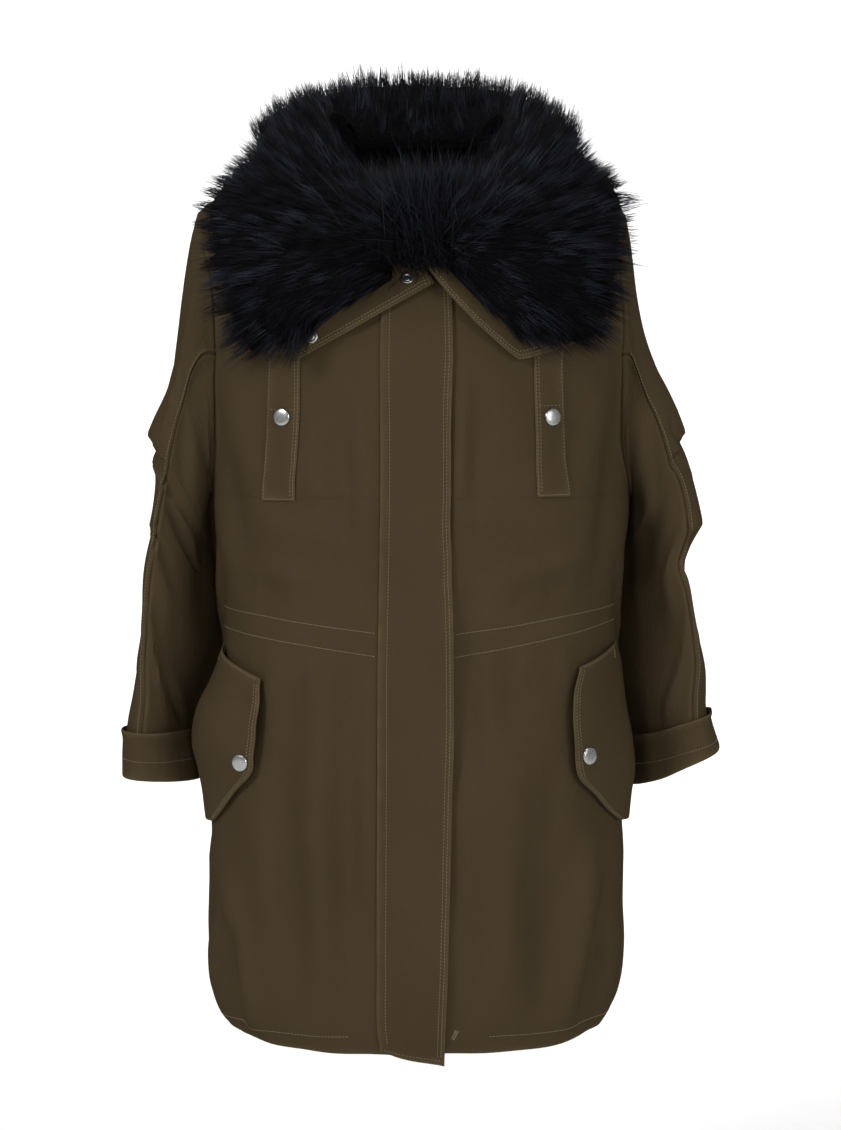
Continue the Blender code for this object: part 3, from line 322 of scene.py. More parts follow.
# Creases: straight soft ridges (positive) or troughs (negative) between two places in millimetres. On the front and
# the back a place is x and z, and on the sides it is y and z.
Crease = collections.namedtuple("Crease", "from_p from_z to_p to_z wide depth")
CREASES = {
    "front": table(
        Crease,
        # front, below the fly's edges and the waist
        (44, -150, 40, -330, 9, 2.4),
        (62, -170, 50, -300, 12, -1.8),
        (46, -360, 52, -560, 11, -2.2),
        (70, -420, 60, -700, 14, 2.0),
        (47, -500, 49, -690, 8, 1.8),
        (95, -480, 78, -790, 16, 2.6),
        (130, -520, 118, -800, 16, -2.9),
        (172, -600, 140, -790, 12, 4.2),
        (190, -640, 160, -800, 9, -4.2),
        (60, -250, 150, -240, 16, -1.2),
        (70, -360, 190, -330, 13, 1.8),
        (100, -395, 180, -385, 9, -1.4),
        (190, -150, 150, -300, 14, 2.2),
        (198, -210, 172, -370, 10, -2.2),
        (-56, -170, -48, -360, 12, 2.0),
        (-72, -200, -64, -390, 14, -1.8),
        (-50, -440, -46, -700, 11, 2.0),
        (-66, -430, -70, -760, 14, -1.8),
        (-100, -440, -88, -790, 16, 2.9),
        (-132, -520, -118, -790, 15, -2.6),
        (-190, -640, -158, -805, 10, 4.5),
        (-182, -690, -172, -800, 8, -4.2),
        (-190, -150, -150, -300, 14, 2.0),
        (-198, -220, -165, -370, 10, -2.0),
        (-90, -360, -190, -340, 12, 1.8),
        (-60, -300, -150, -280, 14, -1.2),
        (90, -60, 150, -150, 14, 2.0),
        (-90, -60, -150, -150, 14, 2.0),
        # the front's gathers where the waist channel takes the cloth in
        (86, -388, 84, -360, 5, 0.9),
        (118, -385, 116, -350, 5, 0.9),
        (150, -382, 151, -345, 5, 1.0),
        (100, -425, 102, -460, 6, 1.0),
        (138, -418, 141, -465, 6, 0.9),
        (-80, -396, -82, -362, 5, 0.9),
        (-120, -392, -118, -350, 5, 1.0),
        (-155, -388, -157, -350, 5, 0.9),
        (-100, -430, -102, -470, 6, 1.0),
        (-140, -424, -141, -465, 6, 0.9),
    ),
    "back": table(
        Crease,
        (-60, -60, -90, -260, 14, 2.2),
        (70, -80, 96, -280, 14, 2.0),
        (0, -120, 6, -330, 18, -2.2),
        (-150, -120, -110, -330, 13, 2.6),
        (155, -140, 110, -340, 13, 2.4),
        (-120, -300, -20, -372, 11, -2.0),
        (120, -310, 25, -370, 11, -1.8),
        (-40, -420, -52, -700, 14, 2.4),
        (48, -430, 60, -720, 14, 2.2),
        (0, -440, 4, -800, 12, -2.4),
        (-110, -430, -118, -790, 16, -2.0),
        (112, -440, 122, -790, 16, 2.0),
        (170, -480, 150, -790, 12, -2.2),
        (-172, -500, -150, -800, 12, 2.2),
        (-70, -384, -72, -350, 5, 1.0),
        (-30, -386, -28, -346, 5, 0.9),
        (20, -386, 22, -350, 5, 1.0),
        (74, -384, 76, -344, 5, 0.9),
        (130, -384, 128, -350, 5, 0.9),
        (-130, -384, -133, -345, 5, 1.0),
        (-56, -412, -60, -455, 6, 1.0),
        (40, -412, 43, -458, 6, 1.0),
        (100, -412, 104, -450, 6, 0.9),
    ),
    "left": table(
        Crease,
        (-30, -330, 20, -420, 10, 2.0),
        (50, -310, 60, -560, 12, -2.0),
        (10, -600, -10, -790, 12, 2.2),
    ),
    "right": table(
        Crease,
        (-30, -330, 30, -420, 10, 2.0),
        (60, -320, 56, -560, 12, -2.0),
        (0, -600, 16, -790, 12, 2.2),
        (12, -330, 14, -480, 24, 2.6),
    ),
}

# A sleeve's creases, between two places given as a station and an angle round the arm in degrees.
SleeveCrease = collections.namedtuple("SleeveCrease", "from_station from_angle to_station to_angle wide depth")
SLEEVE_CREASES = {
    RIGHT: table(
        SleeveCrease,
        (6.7, 52, 6.9, 86, 4.5, -2.4),
        (7.4, 30, 8.6, 128, 7, 2.0),
        (8.0, 96, 10.4, 160, 9, -2.4),
        (9.6, 58, 10.0, 86, 5, -1.8),
        (10.6, 70, 12.6, 128, 9, 2.0),
        (13.0, 50, 15.8, 74, 5, -1.5),
        (12.6, 92, 15.9, 128, 7, 1.8),
        (14.4, 128, 15.9, 158, 6, -2.4),
        (3.0, 100, 6.4, 116, 12, -1.6),
        (1.0, 60, 5.8, 78, 7, 1.8),
        (7.0, 320, 8.4, 250, 9, 3.0),
        (9.0, 330, 10.8, 250, 9, -2.8),
        (2.0, 300, 6.0, 280, 12, 2.0),
        (11.0, 300, 15.5, 280, 11, 2.2),
        (1.5, 226, 9.5, 228, 24, 2.0),
        (8.5, 228, 16.8, 230, 24, 4.1),
    ),
    LEFT: table(
        SleeveCrease,
        (1.5, 226, 9.5, 228, 24, 1.6),
        (8.5, 228, 16.8, 230, 24, 2.2),
        (6.4, 52, 6.7, 86, 4.5, -2.4),
        (4.8, 76, 6.8, 58, 5, -1.8),
        (6.9, 80, 8.6, 56, 6, 1.4),
        (10.3, 60, 10.3, 88, 5, -2.6),
        (10.9, 40, 11.6, 80, 6, -1.4),
        (9.4, 96, 12.4, 128, 10, 1.8),
        (3.4, 106, 8.4, 122, 12, -1.6),
        (13.0, 52, 15.9, 76, 5, -1.5),
        (12.4, 100, 15.9, 132, 8, 1.8),
        (7.2, 320, 8.6, 250, 9, 3.0),
        (9.2, 330, 11.0, 256, 9, -2.8),
        (2.0, 300, 6.2, 284, 12, 2.0),
        (11.2, 300, 15.6, 282, 11, 2.2),
    ),
}
STATION_LENGTH = 34.0  # about how many millimetres of sleeve lie between two stations
ARM_RADIUS = 74.0
CUFF_STATION = 16.0  # where the cuff's fold is
CUFF_COLUMNS = 100
CUFF_FOLD, CUFF_FLARE = 3.2, 1.5  # millimetres that the cuff stands off at its fold, and more at its lower edge
LAST_STATION = 17.0
STATION_STEP, SLEEVE_TURN = 0.08, 0.03  # stations and radians to each side, for a normal
BLENDED_STATIONS = 3  # over which the armhole's shape passes into the arm's
SLEEVE_RIDGE = 1.7  # how much higher the ridge beside a sleeve's long seams is than other seams' ridges

# Soft square lamps that point at LIT_PLACE, in metres and watts.
Lamp = collections.namedtuple("Lamp", "name x y z size power")
LAMPS = table(
    Lamp,
    ("key_light", -2.2, -2.1, 1.2, 0.8, 61),
    ("fill_light", 2.1, -2.6, 0.4, 1.4, 38),
    ("front_light", 0.2, -3.6, -0.1, 0.8, 22),
    ("top_light", 0.1, -0.5, 2.1, 0.8, 26),
)
WALL_LIGHT_PLACE = (1.3, 2.6, 2.6)
WALL_LIGHT_TILT = 45  # degrees from straight down, towards the wall
WALL_LIGHT_SIZE = 1.4
WALL_LIGHT_POWER = 72
LIT_PLACE = Vector((0, 0, -0.3))
WORLD_STRENGTH = 0.39
FLOOR_LEVEL = -1.15
FLOOR_SIZE = (12.0, 10.0, 1.0)
FLOOR_SHIFT = -0.4
FLOOR_CURVE = 1.4
WALL_HEIGHT = 4.6
CAMERA_PLACE = (0.0025, -2.8, -0.202)
CAMERA_TILT = 87
CAMERA_SENSOR = 36.0
CAMERA_LENS = 2800 * CAMERA_SENSOR / 1130  # millimetres


# Smooth surfaces


def smooth(keys, values, slopes, wanted):
    """The values at the wanted keys, on a smooth curve through the values at the keys."""
    i = np.clip(np.searchsorted(keys, wanted) - 1, 0, len(keys) - 2)
    span = np.asarray(keys[i + 1] - keys[i])[..., None]
    t = np.asarray(wanted - keys[i])[..., None] / span
    return (
        (2 * t**3 - 3 * t**2 + 1) * values[i]
        + (t**3 - 2 * t**2 + t) * slopes[i] * span
        + (3 * t**2 - 2 * t**3) * values[i + 1]
        + (t**3 - t**2) * slopes[i + 1] * span
    )


class Curves:
    """Smooth curves through the rows of a table, read at any values of its first column."""

    def __init__(self, rows, unit_size=MM, key_unit=MM):
        self.row_type = type(rows[0])
        numbers = np.array(rows, float)
        self.keys = numbers[:, 0] * key_unit
        self.values = numbers[:, 1:] * unit_size
        self.slopes = np.gradient(self.values, self.keys, axis=0)

    def at(self, key):
        key = np.clip(np.asarray(key, float), self.keys[0], self.keys[-1])
        value = smooth(self.keys, self.values, self.slopes, key)
        return self.row_type(key, *np.moveaxis(value, -1, 0))


BODY_CURVE = Curves(BODY)
SLEEVE_CURVES = {side: Curves(rows, key_unit=1) for side, rows in SLEEVES.items()}
PLACKET_CURVE = Curves(PLACKET)
TAB_CURVES = {side: Curves(rows) for side, rows in TABS.items()}
FLAP_CURVES = {side: Curves(rows, unit_size=1, key_unit=1) for side, rows in FLAPS.items()}
COLLAR_CURVES = {side: Curves(rows, unit_size=1, key_unit=1) for side, rows in COLLAR.items()}


def unit(vectors):
    length = np.linalg.norm(vectors, axis=-1, keepdims=True)
    return vectors / np.maximum(length, 1e-12)


def turned_by(degrees):
    """The same turn, between -180 and 180 degrees."""
    return (degrees + 180) % 360 - 180


def signed_power(value, exponent):
    return np.sign(value) * np.abs(value) ** exponent


def lengths_along(points):
    """How far along its row each point lies, for rows of points on the last axis but one."""
    steps = np.linalg.norm(np.diff(points, axis=-2), axis=-1)
    start = np.zeros(steps.shape[:-1] + (1,))
    return np.concatenate([start, np.cumsum(steps, axis=-1)], axis=-1)


def lengths_down(grid):
    """How far down its column each point of a grid lies."""
    return lengths_along(grid.swapaxes(0, 1)).swapaxes(0, 1)


def at_shares(points, shares):
    """Places at these shares of the length of a row of points."""
    along = lengths_along(points)
    wanted = np.asarray(shares) * along[-1]
    return np.stack([np.interp(wanted, along, points[:, k]) for k in range(points.shape[1])], axis=1)


def face_normal(face, level, around, level_step):
    """The normals of a face that is given by levels and angles."""
    level, around = np.asarray(level, float), np.asarray(around, float)
    across = face(level, around + ANGLE_STEP) - face(level, around - ANGLE_STEP)
    up = face(level + level_step, around) - face(level - level_step, around)
    return unit(np.cross(across, up))


def body_points(level, around):
    level, around = np.broadcast_arrays(np.asarray(level, float), np.asarray(around, float))
    row = BODY_CURVE.at(level)
    exponent = 2 / (row.squareness / MM)
    sine, cosine = np.sin(around), np.cos(around)
    half = np.where(sine > 0, row.left_half, row.right_half)
    depth = np.where(cosine > 0, row.front, row.back)
    end_z = np.where(cosine > 0, row.front_z, row.back_z)
    x = half * signed_power(sine, exponent)
    y = SIDE_SEAM_Y - depth * signed_power(cosine, exponent)
    z = row.side_z + (end_z - row.side_z) * cosine**2
    push = np.zeros_like(x)
    for fold in BODY_FOLDS:
        from_middle = level / MM - fold.level
        middle = fold.around + fold.lean * from_middle
        apart = turned_by(np.degrees(around) - middle)
        push = push + fold.depth * MM * np.exp(-((apart / fold.wide) ** 2) - (from_middle / fold.tall) ** 2)
    out = unit(np.stack([x, y - SIDE_SEAM_Y, np.zeros_like(x)], axis=-1))
    return np.stack([x, y, z], axis=-1) + out * push[..., None]


def body_normal(level, around):
    return face_normal(body_points, level, around, 2 * MM)


def crease_shape(across, down, run, wide):
    """A soft ridge along a run, with a shallower trough beside it, fading out at both ends."""
    length = math.hypot(*run)
    share = (across * run[0] + down * run[1]) / length**2
    sideways = (across * run[1] - down * run[0]) / length
    fade = np.clip(4 * share * (1 - share), 0, 1) ** 0.7
    ridge = np.exp(-((sideways / wide) ** 2))
    return fade * (ridge - 0.4 * np.exp(-(((sideways - 1.8 * wide) / (1.2 * wide)) ** 2)))


def crease_push(points):
    x, y, z = points[..., 0] / MM, points[..., 1] / MM, points[..., 2] / MM
    forward = np.clip((SIDE_SEAM_Y / MM - y) / 40 + 0.5, 0, 1)
    shown = {
        "front": forward,
        "back": 1 - forward,
        "left": np.clip((x - 120) / 50, 0, 1),
        "right": np.clip((-x - 120) / 50, 0, 1),
    }
    push = np.zeros_like(x)
    for face, creases in CREASES.items():
        place = y if face in ("left", "right") else x
        for crease in creases:
            run = (crease.to_p - crease.from_p, crease.to_z - crease.from_z)
            shape = crease_shape(place - crease.from_p, z - crease.from_z, run, crease.wide)
            push += crease.depth * shape * shown[face]
    return push * MM


def unevenness(points, seed, size=0.34, count=14):
    """The slight waves of hanging cloth, longer down than across."""
    chance = np.random.default_rng(seed)
    push = np.zeros(points.shape[:-1])
    for _ in range(count):
        length = chance.uniform(45, 190) * MM
        direction = unit(chance.normal(size=3) * np.array([1.0, 1.0, 0.45]))
        push += np.sin(points @ direction * (2 * math.pi / length) + chance.uniform(0, 6.28))
    return push * size * MM


def coat_points(level, around):
    """The coat's outer face with its creases."""
    base = body_points(level, around)
    push = crease_push(base) + unevenness(base, 5)
    return base + body_normal(level, around) * push[..., None] * bpy.context.scene.parka_sizes.crease_depth


def coat_normal(level, around):
    return face_normal(coat_points, level, around, 3 * MM)


def front_at(x, z):
    """The levels and angles of the front's points that have these x and z."""
    x, z = np.broadcast_arrays(np.asarray(x, float), np.asarray(z, float))
    level = z.copy()
    around = np.zeros_like(x)
    for _ in range(24):
        row = BODY_CURVE.at(level)
        half = np.where(x > 0, row.left_half, row.right_half)
        sine = np.minimum(1.0, (np.abs(x) / half) ** (row.squareness / MM / 2))
        around = np.copysign(np.arcsin(sine), x)
        level = np.minimum(level + 0.7 * (z - body_points(level, around)[..., 2]), NECK_LEVEL)
    return level, around


def armhole_value(points):
    """Below 0 inside the armhole's outline, as seen from the side."""
    half_depth = np.where(points[..., 1] < SIDE_SEAM_Y, ARMHOLE_FRONT, ARMHOLE_BACK)
    forward = np.abs(points[..., 1] - SIDE_SEAM_Y) / half_depth
    upward = np.abs(points[..., 2] - ARMHOLE_MIDDLE) / ARMHOLE_HALF
    return forward**ARMHOLE_SQUARENESS + upward**ARMHOLE_SQUARENESS - 1


def edge_angle(level, side, is_front):
    """Where levels of the front or back end: at the side or shoulder seam, or at the armhole."""
    level = np.asarray(level, float)
    seam = side * math.pi / 2
    inside = np.full(level.shape, seam)
    outside = np.full(level.shape, 0.0 if is_front else side * math.pi)
    is_whole = armhole_value(body_points(level, inside)) >= -1e-6
    for _ in range(40):
        middle = (outside + inside) / 2
        is_out = armhole_value(body_points(level, middle)) > 0
        outside = np.where(is_out, middle, outside)
        inside = np.where(is_out, inside, middle)
    return np.where(is_whole, seam, (outside + inside) / 2)


def armhole_levels():
    angles = np.pi * (1 - np.arange(ARMHOLE_STEPS + 1) / ARMHOLE_STEPS)
    return ARMHOLE_MIDDLE + ARMHOLE_HALF * signed_power(np.cos(angles), 2 / ARMHOLE_SQUARENESS)


def body_levels():
    """The panels' rows from the hem to the neck, close together at the hem."""
    near_hem = HEM_LEVEL + EDGE_STEPS
    count = int((ARMHOLE_BOTTOM - near_hem[-1]) / ROW_STEP)
    below = np.linspace(near_hem[-1], ARMHOLE_BOTTOM, count)[1:-1]
    above = np.linspace(ARMHOLE_TOP, NECK_LEVEL, 12)[1:]
    return np.concatenate([near_hem, below, armhole_levels(), above]), len(near_hem) + len(below)


def spread(points, values, count):
    """Values along a row of points: close together near its two ends, and even between them."""
    along = lengths_along(points)
    total = along[-1]
    near = EDGE_STEPS * min(1.0, total / (4 * EDGE_STEPS[-1]))
    middle = np.linspace(near[-1], total - near[-1], count)[1:-1]
    return np.interp(np.concatenate([near, middle, total - near[::-1]]), along, values)


def eased(near, count):
    """Shares from 0 to 1: these near both ends, and even ones between them."""
    return np.concatenate([near, np.linspace(near[-1], 1 - near[-1], count)[1:-1], 1 - near[::-1]])


def edge_roll(distance):
    """How a sewn edge is pressed in, with the small ridge of its seam allowance beside it."""
    mm = distance / MM
    return (0.7 * np.exp(-(((mm - 3.4) / 2.0) ** 2)) - 1.2 * np.exp(-((mm / 1.2) ** 2))) * MM


# Meshes

EDGE_WEAR_AND_HIGHLIGHT_REACH = 7 * MM  # how far in from an edge its wear and its painted highlight fade
EDGE_ROUNDNESS = 0.9 * MM
SHARP_ANGLE = 55  # degrees between two faces of a wall
GRIDS = {}  # each cloth piece's counts of rows and columns
OUTER_FACES = {}  # each cloth piece's shown face, for laying the sewing on


def lengths_from_ends(grid):
    """Each point's distance from the nearer end of its row, and from the nearer end of its column."""
    along, down = lengths_along(grid), lengths_down(grid)
    return np.minimum(along, along[:, -1:] - along), np.minimum(down, down[-1:] - down)


def from_edges(grid, is_tube=False):
    """Each point's distance from the nearest edge of its piece."""
    closed = np.concatenate([grid, grid[:, :1]], axis=1) if is_tube else grid
    from_side, from_end = lengths_from_ends(closed)
    nearest = from_end if is_tube else np.minimum(from_side, from_end)
    return nearest[:, : grid.shape[1]]


def grid_normals(grid, is_tube=False):
    if is_tube:
        across = np.roll(grid, -1, axis=1) - np.roll(grid, 1, axis=1)
    else:
        across = np.gradient(grid, axis=1)
    return unit(np.cross(across, np.gradient(grid, axis=0)))


def faced(normals, away):
    """The normals, turned so that most of them point away."""
    return normals if np.sum(normals * away) >= 0 else -normals


def fill_mesh(name, points, faces, finish, corner_uv=None, attributes=()):
    """One object from arrays of points and of faces with equally many corners."""
    mesh = bpy.data.meshes.new(name)
    mesh.vertices.add(len(points))
    mesh.vertices.foreach_set("co", np.ascontiguousarray(points, np.float32).ravel())
    count, corners = faces.shape
    mesh.loops.add(count * corners)
    mesh.loops.foreach_set("vertex_index", np.ascontiguousarray(faces, np.int32).ravel())
    mesh.polygons.add(count)
    mesh.polygons.foreach_set("loop_start", np.arange(0, count * corners, corners, dtype=np.int32))
    mesh.update(calc_edges=True)
    if corner_uv is not None:
        layer = mesh.uv_layers.new(name="UVMap")
        layer.data.foreach_set("uv", np.ascontiguousarray(corner_uv, np.float32).ravel())
    for label, values in attributes:
        made = mesh.attributes.new(label, "FLOAT", "POINT")
        made.data.foreach_set("value", np.ascontiguousarray(values, np.float32).ravel())
    mesh.materials.append(finish)
    mesh.shade_smooth()
    obj = bpy.data.objects.new(name, mesh)
    bpy.context.scene.collection.objects.link(obj)
    return obj


def prism_faces(rings):
    """The long sides of a prism whose rings have three points each, as triangles."""
    faces = []
    for k in range(rings - 1):
        for i in range(3):
            a, b = 3 * k + i, 3 * k + (i + 1) % 3
            faces += [(a, b, b + 3), (a, b + 3, a + 3)]
    return faces


def repeated(faces, size, count):
    """The faces of as many equal forms, which have this many points each."""
    return (np.array(faces)[None] + (np.arange(count) * size)[:, None, None]).reshape(-1, 3)


def corners_of(grid):
    return np.stack([grid[:-1, :-1], grid[:-1, 1:], grid[1:, 1:], grid[1:, :-1]], axis=-1).reshape(-1, 4)


def cloth_wall(name, outer, inner, is_tube):
    """A closed cloth wall between two grids, unwrapped in metres, with a mask that is 1 along its edges."""
    rows, columns = outer.shape[:2]
    count = rows * columns
    index = np.arange(count).reshape(rows, columns)
    closed = outer
    if is_tube:
        index = np.concatenate([index, index[:, :1]], axis=1)
        closed = np.concatenate([outer, outer[:, :1]], axis=1)
    place = np.arange(index.size).reshape(index.shape)
    across = lengths_along(closed)
    uv = np.stack([across - across[:, -1:] / 2, lengths_down(closed)], axis=-1).reshape(-1, 2)
    shown = corners_of(index)
    faces, uv_faces = [shown, shown[:, ::-1] + count], [corners_of(place), corners_of(place)[:, ::-1]]
    rims = [(index[0], place[0], False), (index[-1], place[-1], True)]
    if not is_tube:
        rims += [(index[:, 0], place[:, 0], True), (index[:, -1], place[:, -1], False)]
    for line, uv_line, is_flipped in rims:
        rim = np.stack([line[:-1] + count, line[1:] + count, line[1:], line[:-1]], axis=-1)
        uv_rim = np.stack([uv_line[:-1], uv_line[1:], uv_line[1:], uv_line[:-1]], axis=-1)
        faces.append(rim[:, ::-1] if is_flipped else rim)
        uv_faces.append(uv_rim[:, ::-1] if is_flipped else uv_rim)
    faces, uv_faces = np.concatenate(faces), np.concatenate(uv_faces)
    points = np.concatenate([outer.reshape(-1, 3), inner.reshape(-1, 3)])
    a, b, c, d = (points[faces[:, k]] for k in range(4))
    if np.sum(a * np.cross(b, c)) + np.sum(a * np.cross(c, d)) < 0:
        faces, uv_faces, shown = faces[:, ::-1], uv_faces[:, ::-1], shown[:, ::-1]
    edge = np.exp(-from_edges(outer, is_tube) / EDGE_WEAR_AND_HIGHLIGHT_REACH).ravel()
    mask = [("edge", np.concatenate([edge, edge]))]
    made = fill_mesh(name, points, faces, twill_finish("olive_cloth"), uv[uv_faces], mask)
    made.data.set_sharp_from_angle(angle=math.radians(SHARP_ANGLE))
    OUTER_FACES[name] = (points[:count], shown)
    GRIDS[name] = (rows, columns)
    tree_of.cache_clear()
    return made


def rounded(grid, normals, wall, is_tube=False):
    """A piece's two faces, the wall's thickness apart, drawn together at the piece's edges as a folded edge is."""
    turned_in = (0.4 * wall * np.exp(-((from_edges(grid, is_tube) / EDGE_ROUNDNESS) ** 2)))[..., None]
    return grid + normals * (wall - turned_in), grid + normals * turned_in


def finish_piece(obj, nodes):
    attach(obj, "root")
    if nodes:
        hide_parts(*nodes)


def dress(node, outer, inner, is_tube=False):
    """A node's cloth, attached to the root, with the node's own part hidden."""
    obj = cloth_wall(f"{node}_cloth", outer, inner, is_tube)
    finish_piece(obj, [node])


# Body and sleeves


@functools.cache
def armhole_loop(side):
    """The armhole's points, shared wall directions and angles, from the shoulder down the front and up the back."""
    levels = armhole_levels()
    down, up = levels[::-1], levels[1:-1]
    level = np.concatenate([down, up])
    around = np.concatenate([edge_angle(down, side, True), edge_angle(up, side, False)])
    base = body_points(level, around)
    half_depth = np.where(np.arange(len(level)) < len(down), ARMHOLE_FRONT, ARMHOLE_BACK)
    upward = signed_power((base[:, 2] - ARMHOLE_MIDDLE) / ARMHOLE_HALF, ARMHOLE_SQUARENESS / 2)
    forward = signed_power((SIDE_SEAM_Y - base[:, 1]) / half_depth, ARMHOLE_SQUARENESS / 2)
    angles = np.arctan2(forward, upward) % (2 * math.pi)
    points = coat_points(level, around)
    out = unit(points - np.array([side * 150 * MM, SIDE_SEAM_Y, ARMHOLE_MIDDLE])) + np.array([side * 0.6, 0, 0])
    shared = unit(coat_normal(level, around) + 0.6 * unit(out))
    return points, shared, angles


def at_angles(loop_angles, values, angles):
    """Values of a closed loop at any angles."""
    keys = np.concatenate([loop_angles, [loop_angles[0] + 2 * math.pi]])
    wrapped = np.concatenate([values, values[:1]])
    turned = (np.asarray(angles) - keys[0]) % (2 * math.pi) + keys[0]
    return np.stack([np.interp(turned, keys, wrapped[:, k]) for k in range(values.shape[1])], axis=-1)


def sleeve_rings(side, stations, angles):
    row = SLEEVE_CURVES[side].at(stations)
    turn = np.radians(row.turn / MM)
    exponent = 2 / SLEEVE_SQUARENESS
    reach = signed_power(np.cos(angles - turn), exponent)
    x = side * ((row.outer_x + row.inner_x) / 2 + reach * (row.outer_x - row.inner_x) / 2)
    z = (row.outer_z + row.inner_z) / 2 + reach * (row.outer_z - row.inner_z) / 2
    y = (row.front_y + row.back_y) / 2 - (row.back_y - row.front_y) / 2 * signed_power(np.sin(angles), exponent)
    facing = np.maximum(np.cos(angles - turn), 0) ** ELBOW_FOCUS
    for fold in ELBOW_FOLDS[side]:
        above = row.outer_z / MM - fold.tip_z
        shape = np.where(above > 0, 1 - above / fold.rise, 1 + above / fold.fall)
        x = x + side * fold.reach * MM * np.maximum(shape, 0) * facing
    return np.stack(np.broadcast_arrays(x, y, z), axis=-1)


def sleeve_base(side, stations, angles):
    stations, angles = np.broadcast_arrays(np.asarray(stations, float), np.asarray(angles, float))
    loop, _, loop_angles = armhole_loop(side)
    first = sleeve_rings(side, np.zeros_like(stations), angles)
    fade = np.maximum(0.0, 1 - stations / BLENDED_STATIONS) ** 2
    return sleeve_rings(side, stations, angles) + (at_angles(loop_angles, loop, angles) - first) * fade[..., None]


def sleeve_normal(side, stations, angles):
    around = sleeve_base(side, stations, angles + SLEEVE_TURN) - sleeve_base(side, stations, angles - SLEEVE_TURN)
    after = sleeve_base(side, np.minimum(stations + STATION_STEP, LAST_STATION), angles)
    along = after - sleeve_base(side, np.maximum(stations - STATION_STEP, 0), angles)
    return unit(np.cross(around, along)) * side


def sleeve_face(side, stations, angles):
    """A sleeve's outer face with its creases."""
    stations, angles = np.broadcast_arrays(np.asarray(stations, float), np.asarray(angles, float))
    base = sleeve_base(side, stations, angles)
    push = unevenness(base, 11 + side, 0.42)
    for crease in SLEEVE_CREASES[side]:
        across = np.radians(turned_by(np.degrees(angles) - crease.from_angle)) * ARM_RADIUS
        down = (stations - crease.from_station) * STATION_LENGTH
        run_across = math.radians(crease.to_angle - crease.from_angle) * ARM_RADIUS
        run_down = (crease.to_station - crease.from_station) * STATION_LENGTH
        push += crease.depth * MM * crease_shape(across, down, (run_across, run_down), crease.wide)
    push *= np.minimum(1.0, stations / 0.8) * bpy.context.scene.parka_sizes.crease_depth
    return base + sleeve_normal(side, stations, angles) * push[..., None]


def make_sleeve(side, word):
    _, shared, loop_angles = armhole_loop(side)
    front_seam, back_seam = loop_angles[FRONT_SEAM_STEP], loop_angles[BACK_SEAM_STEP]
    near = np.array([0, 0.02, 0.05, 0.09, 0.14, 0.21])
    stations = np.concatenate([near, np.linspace(near[-1], 16.94, 122)[1:]])
    spans = {
        "sleeve_under": (front_seam, back_seam, 32),
        "sleeve_top": (back_seam, front_seam + 2 * math.pi, 42),
    }
    for label, (start, end, count) in spans.items():
        fine = np.linspace(start, end, 160)
        rings = sleeve_base(side, stations[:, None], fine[None, :])
        angles = np.array([spread(ring, fine, count) for ring in rings])
        grid = sleeve_face(side, stations[:, None], angles)
        normals = faced(grid_normals(grid), sleeve_normal(side, stations[:, None], angles))
        normals[0] = at_angles(loop_angles, shared, angles[0])
        from_side, _ = lengths_from_ends(grid)
        from_armhole = lengths_down(grid)
        roll = np.where(from_armhole < ROLL_REACH, edge_roll(from_armhole), 0.0)
        roll = np.where(from_side < ROLL_REACH, np.minimum(roll, 0) + SLEEVE_RIDGE * edge_roll(from_side), roll)
        grid = grid + normals * roll[..., None]
        dress(f"{label}_{word}", grid, grid - normals * SHELL_WALL)


def make_cuff(side, word):
    """The turned-up band: a fold at its top, and its edge rolled under at the bottom."""
    down = np.concatenate([[0, 0.03, 0.07], np.linspace(0.12, 0.88, 14), [0.93, 0.97, 1.0]])[:, None]
    stations = CUFF_STATION + down
    fine = np.linspace(0, 2 * math.pi, 240)
    along = lengths_along(sleeve_base(side, np.full(len(fine), CUFF_STATION + 0.5), fine))
    angles = np.interp(np.linspace(0, along[-1], CUFF_COLUMNS + 1)[:-1], along, fine)
    grid = sleeve_face(side, stations, angles[None, :])
    normals = faced(grid_normals(grid, True), sleeve_normal(side, stations, angles[None, :]))
    waves = 0.5 * np.sin(angles * 5 + side) + 0.35 * np.sin(angles * 9 + 2.0)
    fold = CUFF_FOLD * np.exp(-((down / 0.16) ** 2))
    flare = (CUFF_FLARE * down + fold + waves[None, :] * np.sin(math.pi * down)) * MM + SEAM_GAP
    outer, inner = rounded(grid + normals * flare[..., None], normals, CUFF_WALL, True)
    dress(f"cuff_{word}", outer, inner, is_tube=True)


def panel_angles(levels, start, end, count):
    fine = np.linspace(start, end, 200, axis=1)
    return np.array([spread(body_points(level, row), row, count) for level, row in zip(levels, fine)])


def make_panel(name, levels, first_armhole, angles, armhole_columns, rolled_ends):
    grid = coat_points(levels[:, None], angles)
    middle = np.array([0, SIDE_SEAM_Y, 0])
    normals = faced(grid_normals(grid), (grid - middle) * np.array([1, 1, 0]))
    from_first = lengths_along(grid)
    from_last = from_first[:, -1:] - from_first
    roll = np.zeros(grid.shape[:2])
    if 0 in rolled_ends:
        roll += edge_roll(from_first)
    if -1 in rolled_ends:
        roll += edge_roll(from_last)
    steps = np.arange(ARMHOLE_STEPS + 1)
    onward = steps if name == "back" else -steps  # the loop runs down the front and up the back
    for side, column in armhole_columns.items():
        shared = armhole_loop(side)[1]
        normals[first_armhole + steps, column] = shared[(ARMHOLE_STEPS + onward) % (2 * ARMHOLE_STEPS)]
    grid = grid + normals * roll[..., None]
    grid -= normals * (HEM_TURN * np.exp(-((lengths_down(grid) / HEM_FOLD) ** 2)))[..., None]
    dress(name, grid, grid - normals * SHELL_WALL)


